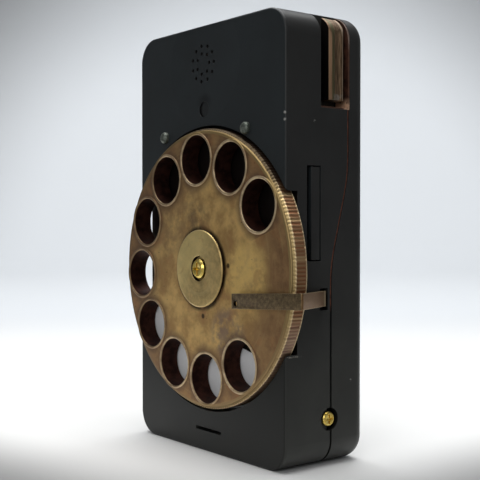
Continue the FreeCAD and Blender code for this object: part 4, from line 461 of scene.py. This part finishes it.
def stop_material():
    """The finger stop: brown bronze scratched along it, redder on its outer leg, bright edges."""
    f = Finish("worn_bronze_stop")
    x, y, z = f.axes()
    scratch = f.noise(1.0, 4.0, 0.65, vector=f.stretched(0.6, 0.6, 14.0))
    blotch = f.noise(0.9, 5.0, 0.72)
    face = f.mix(blotch.between(0.35, 0.7), (0.115, 0.080, 0.045), (0.310, 0.220, 0.112))
    face = f.mix(scratch.between(0.5, 0.75) * 0.5, face, (0.36, 0.275, 0.15))
    warm = f.noise(0.5, 3.0).between(0.58, 0.7)
    face = f.mix(warm * 0.35, face, (0.19, 0.10, 0.055))
    # Painted shade in a small dimple at the strip's free end
    dimple_shade = length(x - STOP_DIMPLE_X, z - STOP_DIMPLE_Z).between(1.15, 0.95)
    face = f.mix(dimple_shade * 0.95, face, (0.006, 0.004, 0.003))
    leg = x.between(33.0, 34.0) * f.facing()[0].between(0.5, 0.8)
    face = f.mix(leg * 0.65, face, (0.27, 0.135, 0.050))
    worn = f.edge(0.22).math("MAXIMUM", leg * f.edge(0.5) * 0.8)
    worn = worn.math("MAXIMUM", leg * y.between(-2.7, -2.35) * y.between(-1.5, -1.8))
    face = f.mix(worn * 0.8, face, (0.60, 0.49, 0.29))
    f.bump(scratch * 0.5 + blotch * 0.5, 0.02, 0.6)
    return f.finish(face, 0.42 + (blotch - 0.5) * 0.25, metallic=0.85)


def brass_material():
    """Bright turned brass of the screws and of some parts inside."""
    f = Finish("bright_brass_screw")
    marks = f.noise(1.4, 4.0, 0.6)
    face = f.mix(marks.between(0.4, 0.7), (0.84, 0.60, 0.13), (0.98, 0.80, 0.27))
    face = f.mix(f.noise(3.0, 3.0).between(0.6, 0.75) * 0.5, face, (0.25, 0.13, 0.03))
    f.bump(marks, 0.01, 0.4)
    return f.finish(face, 0.22 + marks * 0.14, metallic=1.0)


def peg_material():
    """The two pegs above the dial: dull grey metal, worn on the edge."""
    f = Finish("dull_grey_peg")
    blotch = f.noise(0.9, 5.0, 0.65)
    face = f.mix(blotch.between(0.35, 0.65), (0.10, 0.115, 0.095), (0.24, 0.26, 0.225))
    face = f.mix(f.edge(0.25) * 0.4, face, (0.42, 0.43, 0.38))
    f.bump(blotch, 0.02, 0.5)
    return f.finish(face, 0.38 + blotch * 0.2, metallic=0.8)


def plate_material():
    """Light grey satin lacquer on the plate under the lower holes."""
    f = Finish("light_grey_plate")
    cloud = f.noise(0.12, 4.0)
    fine = f.noise(5.0, 2.0)
    face = f.mix(cloud, (0.86, 0.87, 0.89), (0.95, 0.955, 0.96))
    f.bump(fine, 0.008, 0.4)
    return f.finish(face, 0.42 + cloud * 0.12)


def seam_material():
    """The strip between the shells: oxidised copper, black below the slot."""
    f = Finish("oxidised_seam_strip")
    _, _, z = f.axes()
    blotch = f.noise(0.6, 5.0, 0.65)
    copper = f.mix(blotch.between(0.35, 0.65), (0.15, 0.052, 0.033), (0.33, 0.125, 0.076))
    bright = f.noise(0.35, 4.0, 0.7).between(0.62, 0.72)
    copper = f.mix(bright * 0.7, copper, (0.30, 0.14, 0.09))
    stop_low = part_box("finger_stop")[0].z / MM
    colour = f.mix(z.between(stop_low - 1.0, stop_low + 2.0), (0.008, 0.0075, 0.007), copper)
    f.bump(blotch, 0.04, 0.6)
    return f.finish(colour, 0.46 + blotch * 0.15, metallic=0.35)


def liner_material():
    """The notch's liner: dark red-brown copper with a bright worn corner."""
    f = Finish("oxidised_liner")
    low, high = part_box("notch_liner")
    bottom, top, back = low.z / MM, high.z / MM, high.y / MM
    _, y, z = f.axes()
    blotch = f.noise(0.5, 5.0, 0.65)
    face = f.mix(blotch.between(0.3, 0.7), (0.03, 0.010, 0.007), (0.105, 0.042, 0.026))
    corner = z.between(bottom + 3.6, bottom + 1.2) * y.between(back - 2.6, back - 1.2)
    face = f.mix(corner * blotch.between(0.3, 0.5) * 0.9, face, (0.86, 0.55, 0.36))
    worn = f.edge(0.25)
    face = f.mix(worn * 0.6, face, (0.36, 0.20, 0.13))
    # Painted highlight on the worn edge near the top
    face = f.mix(worn * z.between(top - 10.0, top - 6.0) * 0.9, face, (0.85, 0.70, 0.60))
    f.bump(blotch, 0.03, 0.6)
    return f.finish(face, 0.40 + blotch * 0.2, metallic=0.3)


def key_material():
    """The sprung key: brown bronze in stripes along its length, with a painted highlight along its
    ridge.
    """
    f = Finish("worn_bronze_key")
    low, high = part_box("side_key")
    bottom = low.z / MM
    _, y, z = f.axes()
    share = (y - low.y / MM) / ((high.y - low.y) / MM)
    drag = f.noise(1.0, 4.0, 0.6, vector=f.stretched(3.0, 3.0, 0.25))
    blotch = f.noise(0.45, 5.0, 0.65)
    face = f.mix(drag.between(0.35, 0.7), (0.105, 0.066, 0.036), (0.30, 0.195, 0.115))
    face = f.mix(blotch.between(0.58, 0.7) * 0.4, face, (0.10, 0.105, 0.055))
    # Stripes, by their share of the key's depth from front to back
    face = f.mix(within(share, 0.15, 0.35, 0.03) * 0.85, face, (0.14, 0.13, 0.066))
    face = f.mix(share.between(0.14, 0.11) * 0.8, face, (0.21, 0.125, 0.07))
    # Painted highlight along the ridge, broken by scratches
    ridge = within(share, 0.85, 0.96, 0.04) * drag.between(0.2, 0.5)
    face = f.mix(ridge * 0.85, face, (0.66, 0.52, 0.37))
    foot = z.between(bottom + 1.9, bottom + 1.2) * within(share, 0.3, 0.8, 0.1)
    face = f.mix(foot * blotch.between(0.35, 0.6) * 0.6, face, (0.42, 0.40, 0.36))
    worn = f.edge(0.45) * drag.between(0.3, 0.55)
    face = f.mix(worn * 0.5, face, (0.42, 0.31, 0.21))
    # Its front and back faces lie in the dark
    face = f.mix(f.facing()[1].between(0.75, 0.95), face, (0.010, 0.007, 0.006))
    f.bump(drag * 0.5 + blotch * 0.5, 0.03, 0.6)
    return f.finish(face, 0.36 + drag * 0.2, metallic=0.75)


def steel_material():
    """Brushed steel of the parts inside."""
    f = Finish("plain_steel")
    brush = f.noise(1.0, 3.0, 0.6, vector=f.stretched(8.0, 0.5, 8.0))
    face = f.mix(brush, (0.30, 0.30, 0.31), (0.52, 0.52, 0.53))
    f.bump(brush, 0.01, 0.4)
    return f.finish(face, 0.28 + brush * 0.12, metallic=1.0)


def board_material():
    """Green lacquer over copper tracks."""
    f = Finish("green_circuit_board")
    tracks = f.noise(1.2, 2.0, 0.5, distortion=1.5).between(0.48, 0.52)
    face = f.mix(tracks, (0.006, 0.055, 0.018), (0.012, 0.10, 0.032))
    f.bump(tracks, 0.02, 0.5)
    return f.finish(face, 0.30, Coat_Weight=0.3)


def dark_material():
    """Black plastic of the parts inside."""
    f = Finish("dark_inner_plastic")
    grain = f.noise(5.0, 3.0)
    face = f.mix(grain, (0.012, 0.012, 0.013), (0.03, 0.03, 0.032))
    f.bump(grain, 0.02, 0.5)
    return f.finish(face, 0.5 + grain * 0.15)


def foam_material():
    """Black foam of the gaskets and the pad."""
    f = Finish("closed_cell_foam")
    cell = f.cells(3.0)
    face = f.mix(cell, (0.015, 0.015, 0.016), (0.045, 0.045, 0.048))
    f.bump(cell, 0.08, 0.8)
    return f.finish(face, 0.85 + cell * 0.1)


def pouch_material():
    """Creased silver foil of the battery."""
    f = Finish("silver_cell_pouch")
    crease = f.noise(0.25, 5.0, 0.6)
    face = f.mix(crease, (0.42, 0.43, 0.46), (0.62, 0.63, 0.66))
    f.bump(crease, 0.15, 0.5)
    return f.finish(face, 0.34 + crease * 0.1, metallic=0.6)


def window_material():
    """The sensor's smoked window: black, with a paler crescent at its left edge."""
    f = Finish("smoked_window")
    smear = f.noise(0.8, 3.0)
    face = f.mix(smear, (0.014, 0.016, 0.017), (0.019, 0.021, 0.022))
    shade = f.near(SENSOR.x / MM + 1.3, LENS_LOW.y / MM, SENSOR.z / MM, 4.4)
    face = f.mix(shade.between(0.95, 0.8), face, (0.001, 0.001, 0.001))
    return f.finish(face, 0.34 + smear * 0.08, Specular_IOR_Level=0.3)


def floor_material():
    """Pale paper: white by the object, with painted shade in front and far away, and a painted
    pool of light on the wall behind.
    """
    f = Finish("pale_floor")
    x, y, z = f.axes()
    across = x * math.cos(AZIMUTH) + y * math.sin(AZIMUTH)
    toward = x * math.sin(AZIMUTH) - y * math.cos(AZIMUTH)
    cloud = f.noise(0.004, 2.0)
    paper = f.mix(cloud, (0.86, 0.865, 0.855), (0.88, 0.88, 0.87))
    # Painted shade on the floor in front of the object
    front = (toward + across.math("ABSOLUTE") * 0.85).between(38.0, 98.0)
    paper = f.mix(front * 0.95, paper, (0.20, 0.20, 0.20))
    # Painted shade far from the object
    colour = f.mix(length(x, y).between(250.0, 800.0), paper, (0.24, 0.245, 0.25))
    # Painted pool of light on the wall behind
    from_spot = length(across - 30.0, z - 40.0)
    wall = f.mix(from_spot.between(320.0, 680.0), (0.72, 0.75, 0.78), (0.175, 0.18, 0.185))
    behind = toward.between(-150.0, -420.0) * from_spot.between(900.0, 640.0)
    return f.finish(f.mix(behind, colour, wall), 0.6)


# ---------------------------------------------------------------------------------------
# Mesh tools
# ---------------------------------------------------------------------------------------
def placed(name, data):
    """A new object in the scene."""
    thing = bpy.data.objects.new(name, data)
    bpy.context.scene.collection.objects.link(thing)
    return thing


def new_piece(name, mesh, material, body):
    """A visible piece with one material, riding on a body."""
    piece = placed(name, mesh)
    mesh.materials.append(material)
    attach(piece, body)
    return piece


def smooth(mesh, degrees):
    """Smooth shading, with sharp edges kept where two faces meet at more than this angle."""
    mesh.polygons.foreach_set("use_smooth", [True] * len(mesh.polygons))
    mesh.set_sharp_from_angle(angle=math.radians(degrees))
    mesh.update()


def cleaned(mesh, gap, flatten=False):
    """Weld points within a gap, merge flat faces if asked, and turn the faces outwards."""
    work = bmesh.new()
    work.from_mesh(mesh)
    bmesh.ops.remove_doubles(work, verts=work.verts, dist=gap)
    if flatten:
        bmesh.ops.dissolve_limit(work, angle_limit=math.radians(0.6), verts=work.verts,
                                 edges=work.edges)
    bmesh.ops.recalc_face_normals(work, faces=work.faces)
    work.to_mesh(mesh)
    work.free()


def turned_mesh(name, profile, segments, centre, closed=True, radius_at=None):
    """Turn (radius, y) pairs about an axis along Y through centre (x, z)."""
    mesh = bpy.data.meshes.new(name)
    points = []
    for step in range(segments):
        angle = 2 * math.pi * step / segments
        for index, (radius, y) in enumerate(profile):
            reach = radius_at(index, radius, step) if radius_at else radius
            points.append((centre[0] + reach * math.cos(angle), y,
                           centre[1] + reach * math.sin(angle)))
    rows = len(profile)
    spans = rows if closed else rows - 1
    faces = []
    for step in range(segments):
        after = (step + 1) % segments
        for index in range(spans):
            beyond = (index + 1) % rows
            faces.append((step * rows + index, step * rows + beyond,
                          after * rows + beyond, after * rows + index))
    mesh.from_pydata(points, [], faces)
    mesh.validate()
    cleaned(mesh, 1e-7)
    return mesh


def arc(centre, radius, start, end, steps, depth=None):
    """Points (radius, y) on an arc round centre, in degrees; depth makes it oval along y."""
    depth = radius if depth is None else depth
    turns = [math.radians(start + (end - start) * step / steps) for step in range(steps + 1)]
    return [(centre[0] + radius * math.cos(turn), centre[1] + depth * math.sin(turn))
            for turn in turns]


def applied(work):
    """A mesh with the work object's modifiers worked in; the object itself goes."""
    graph = bpy.context.evaluated_depsgraph_get()
    mesh = bpy.data.meshes.new_from_object(work.evaluated_get(graph))
    bpy.data.objects.remove(work)
    return mesh


def softened(node, radius, material, body):
    """A piece with the node's own shape and its edges rounded, which stands for the node."""
    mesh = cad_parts[node].data.copy()
    mesh.materials.clear()
    cleaned(mesh, 2e-6, flatten=True)
    work = placed(node + "_work", mesh)
    bevel = work.modifiers.new("round_edges", "BEVEL")
    bevel.width = radius * MM
    bevel.segments = 3
    bevel.limit_method = "ANGLE"
    bevel.angle_limit = math.radians(28)
    soft = applied(work)
    smooth(soft, 30.0)
    piece = new_piece(node + "_piece", soft, material, body)
    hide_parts(node)


# ---------------------------------------------------------------------------------------
# Dial
# ---------------------------------------------------------------------------------------
def hole_centres():
    """The middles (x, z) of the finger holes."""
    for index in range(HOLE_COUNT):
        angle = HOLE_FIRST + HOLE_PITCH * index
        yield HOLE_CIRCLE * math.cos(angle), DIAL_Z + HOLE_CIRCLE * math.sin(angle)


def dial_disc_mesh():
    """The disc with its knurled rim, before the finger holes are cut."""
    bead = 0.5 * MM
    back_round = 0.35 * MM
    bore = 5.0 * MM
    chamfer, shoulder = 0.05 * MM, 0.2 * MM
    plain_edge = 0.12 * MM
    front, back = DIAL_FRONT, DIAL_BACK
    bead_end = (FACE_RADIUS + 0.1 * MM, front + 0.6 * MM)
    bevel_end = front + RIM_BEVEL_DEPTH
    # Rings on the plain face keep its long faces even
    rings = (bore, 12.0 * MM, 20.0 * MM, FACE_RADIUS - 1.6 * MM)
    profile = [(bore, back)] + [(ring, front) for ring in rings]
    profile += arc((FACE_RADIUS - bead, front + bead), bead, -90, -15, 5)
    knurled_from = len(profile)
    profile += [bead_end, (DIAL_RADIUS - chamfer, bevel_end)]
    profile += [(DIAL_RADIUS, bevel_end + shoulder), (DIAL_RADIUS, back - back_round - plain_edge)]
    knurled_to = len(profile)
    profile += arc((DIAL_RADIUS - back_round, back - back_round), back_round, 10, 90, 4)
    steps_per_groove = 4

    def knurl(index, radius, step):
        """Radius of a row: the knurled ones have V grooves, worn unevenly round the rim."""
        if not knurled_from <= index < knurled_to:
            return radius
        share = abs((step % steps_per_groove) / steps_per_groove - 0.5) * 2
        groove = step // steps_per_groove
        # A short and a long wave together leave no pattern
        wave = math.sin(groove * 2.4) * math.sin(groove * 0.37)
        return radius - KNURL_DEPTH * (1 - KNURL_WEAR + KNURL_WEAR * wave) * (1 - share)

    return turned_mesh("dial_disc", profile, KNURLS * steps_per_groove, (0.0, DIAL_Z), True,
                       knurl)


def lip_mesh(name, centre):
    """A finger hole's lining: a rounded lip in front, a plain wall and a collar behind."""
    inner, outer = HOLE_RADIUS, HOLE_RADIUS + LIP_WIDTH
    half = LIP_WIDTH / 2
    tuck = 0.02 * MM
    foot = DIAL_FRONT + 0.06 * MM
    collar = inner + COLLAR_WIDTH
    sunk = inner + 0.4 * MM
    corner = 0.15 * MM
    throat = inner - 0.5 * MM
    profile = [(throat, COLLAR_BACK - corner), (throat + corner, COLLAR_BACK)]
    profile += [(collar - corner, COLLAR_BACK), (collar, COLLAR_BACK - corner)]
    profile += [(collar, DIAL_BACK - corner), (sunk, DIAL_BACK - corner), (sunk, foot)]
    profile += [(outer, foot)]
    profile += arc((inner + half, DIAL_FRONT + tuck), half, 0, 180, 10, -(LIP_RISE + tuck))
    return turned_mesh(name, profile, 96, centre)


def make_dial(material):
    """The disc with its finger holes cut and lined."""
    disc = placed("dial_disc_work", dial_disc_mesh())
    drills = bmesh.new()
    overrun = 3 * MM
    middle = (DIAL_BACK + LIP_FRONT) / 2
    for x, z in hole_centres():
        matrix = Matrix.Translation((x, middle, z)) @ Matrix.Rotation(math.radians(90), 4, "X")
        bmesh.ops.create_cone(drills, cap_ends=True, segments=96,
                              radius1=DRILL_RADIUS, radius2=DRILL_RADIUS,
                              depth=DIAL_BACK - LIP_FRONT + 2 * overrun, matrix=matrix)
    tool_mesh = bpy.data.meshes.new("hole_drills")
    drills.to_mesh(tool_mesh)
    drills.free()
    tool = placed("hole_drills", tool_mesh)
    cutter = disc.modifiers.new("finger_holes", "BOOLEAN")
    cutter.operation = "DIFFERENCE"
    cutter.solver = "EXACT"
    cutter.object = tool
    joined = bmesh.new()
    joined.from_mesh(applied(disc))
    for index, centre in enumerate(hole_centres()):
        joined.from_mesh(lip_mesh(f"lip_{index}", centre))
    bpy.data.objects.remove(tool)
    mesh = bpy.data.meshes.new("dial_plate_piece")
    joined.to_mesh(mesh)
    joined.free()
    smooth(mesh, 24.0)
    dial = new_piece("dial_plate_piece", mesh, material, "dial")
    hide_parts("dial_plate", "rim_band")


def make_cap(material):
    """The round cap in the middle of the dial, with its well for the screw."""
    front, back = CAP_LOW.y, CAP_HIGH.y
    radius = (CAP_HIGH.z - CAP_LOW.z) / 2
    neck = radius - 4.9 * MM
    flat = radius - 3.5 * MM
    foot = DIAL_FRONT + 0.03 * MM
    well = 3.5 * MM
    well_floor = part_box("hub_screw")[0].y + 1.7 * MM
    bore = 1.6 * MM
    edge = 0.62 * MM
    small = 0.14 * MM
    profile = [(bore, back), (neck, back), (neck, foot), (radius, foot)]
    profile += arc((radius - edge, front + edge), edge, 0, -90, 6)
    profile += [(flat, front)]
    profile += arc((well + small, front + small), small, -90, -180, 4)
    profile += [(well, well_floor), (bore, well_floor)]
    mesh = turned_mesh("hub_cap_piece", profile, 160, (0.0, DIAL_Z))
    smooth(mesh, 30.0)
    cap = new_piece("hub_cap_piece", mesh, material, "dial")
    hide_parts("hub_cap")


def make_peg(node, material):
    """A round-headed peg."""
    low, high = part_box(node)
    radius = (high.z - low.z) / 2
    shank = radius * 0.55
    rise = CASE_FRONT - low.y
    brim = rise / 4
    profile = [(0.0, high.y), (shank, high.y), (shank, CASE_FRONT), (radius, CASE_FRONT)]
    profile += arc((0.0, CASE_FRONT - brim), radius, 0, 90, 10, brim - rise)
    centre = ((low.x + high.x) / 2, (low.z + high.z) / 2)
    mesh = turned_mesh(node + "_piece", profile, 64, centre, closed=False)
    smooth(mesh, 40.0)
    peg = new_piece(node + "_piece", mesh, material, "case")
    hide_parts(node)


# ---------------------------------------------------------------------------------------
# Finishes of the pieces that keep their own shape
# ---------------------------------------------------------------------------------------
def paint(material, *nodes):
    """Give these nodes one material."""
    for node in nodes:
        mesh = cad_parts[node].data
        mesh.materials.clear()
        mesh.materials.append(material)


def dress():
    """Paint the nodes that keep their shape and make the pieces that stand for the others."""
    shell = shell_material()
    brass = brass_material()
    peg = peg_material()
    paint(shell, "front_shell", "rear_shell")
    paint(steel_material(), "dial_shaft", "thrust_washer", "retaining_clip", "return_spring",
          "spring_collar", "spring_post", "stop_block", "governor_spindle", "governor_rotor",
          "mechanism_plate", "mechanism_screws", "finger_stop_screw", "rocker_pin", "receiver",
          "vibration_motor", "board_screws", "radio_shield", "sim_holder", "charge_port")
    paint(brass, "shaft_bush", "drive_gear", "governor_pinion", "governor_cup", "pulse_disc")
    paint(dark_material(), "rocker_bracket", "rocker_switches", "side_key_switch",
          "pulse_sensor", "light_sensor", "microphone", "battery_connector", "antenna_carrier")
    paint(board_material(), "main_board", "key_board", "charge_board")
    paint(foam_material(), "receiver_gasket", "mic_gasket", "battery_pad")
    paint(pouch_material(), "battery")
    paint(window_material(), "sensor_lens")
    paint(plate_material(), "number_plate")
    paint(seam_material(), "seam_gasket")
    paint(liner_material(), "notch_liner")
    make_dial(dial_material())
    make_cap(cap_material())
    for node in ("peg_left", "peg_right"):
        make_peg(node, peg)
    softened("finger_stop", 0.14, stop_material(), "case")
    softened("side_key", 0.18, key_material(), "key")
    softened("volume_rocker", 0.12, shell, "rocker")
    softened("hub_screw", 0.06, brass, "dial")
    for node in ("side_screw_left", "side_screw_right"):
        softened(node, 0.05, brass, "case")


# ---------------------------------------------------------------------------------------
# Floor, lights and camera
# ---------------------------------------------------------------------------------------
def make_stage():
    """A pale floor that curves up into a wall all round."""
    flat = 0.95
    bend = 0.45
    wall = 1.6
    profile = [(0.0, 0.0), (0.3, 0.0), (0.6, 0.0)]
    profile += arc((flat, bend), bend, -90, 0, 12) + [(flat + bend, wall)]
    mesh = turned_mesh("stage_floor", profile, 96, (0.0, 0.0), closed=False)
    mesh.transform(Matrix.Rotation(math.radians(90), 4, "X"))
    smooth(mesh, 60.0)
    mesh.materials.append(floor_material())
    placed("stage_floor", mesh)


def area_light(name, place, target, size, power):
    """A rectangular lamp at a place, turned to a target; size in metres, power in watts."""
    data = bpy.data.lights.new(name, "AREA")
    data.shape = "RECTANGLE"
    data.size, data.size_y = size
    data.energy = power
    lamp = placed(name, data)
    lamp.location = place
    lamp.rotation_mode = "QUATERNION"
    direction = Vector(target) - Vector(place)
    lamp.rotation_quaternion = direction.to_track_quat("-Z", "Y")


def make_lights():
    """A broad lamp overhead, a small one in front for the glints, and one on the wall."""
    world = bpy.data.worlds.new("studio_air")
    world.use_nodes = True
    sky = world.node_tree.nodes["Background"]
    sky.inputs["Color"].default_value = (0.86, 0.90, 0.95, 1.0)
    sky.inputs["Strength"].default_value = 0.2
    bpy.context.scene.world = world
    bpy.context.scene.view_settings.view_transform = "Standard"
    area_light("overhead", (-0.05, 0.05, 1.0), (0.0, 0.0, 0.0), (0.9, 0.9), 11.0)
    area_light("fill", (0.452, -0.645, 0.378), (0.0, 0.0, 0.06), (0.38, 0.38), 1.6)
    away = Vector((-math.sin(AZIMUTH), math.cos(AZIMUTH), 0.0))
    lamp_place = away * 0.75 + Vector((0.0, 0.0, 1.2))
    wall_place = away * 1.4 + Vector((0.0, 0.0, 0.1))
    area_light("backdrop", lamp_place, wall_place, (1.2, 0.4), 9.0)


def make_camera():
    """The photograph's camera: nearly level, from the front right."""
    data = bpy.data.cameras.new("camera")
    data.sensor_width = 36.0
    data.lens = data.sensor_width * FOCAL_PIXELS / PICTURE_PIXELS
    data.clip_start, data.clip_end = 0.01, 10.0
    back = Vector((math.sin(AZIMUTH) * math.cos(ELEVATION),
                   -math.cos(AZIMUTH) * math.cos(ELEVATION), math.sin(ELEVATION)))
    right = Vector((math.cos(AZIMUTH), math.sin(AZIMUTH), 0.0))
    up = back.cross(right)
    camera = placed("camera", data)
    centre = Vector((0.0, DIAL_FRONT, DIAL_Z))
    camera.location = centre + back * DISTANCE + right * SIDE_SHIFT + up * UP_SHIFT
    camera.rotation_mode = "QUATERNION"
    camera.rotation_quaternion = Matrix((right, up, back)).transposed().to_quaternion()
    bpy.context.scene.camera = camera


dress()
make_stage()
make_lights()
make_camera()
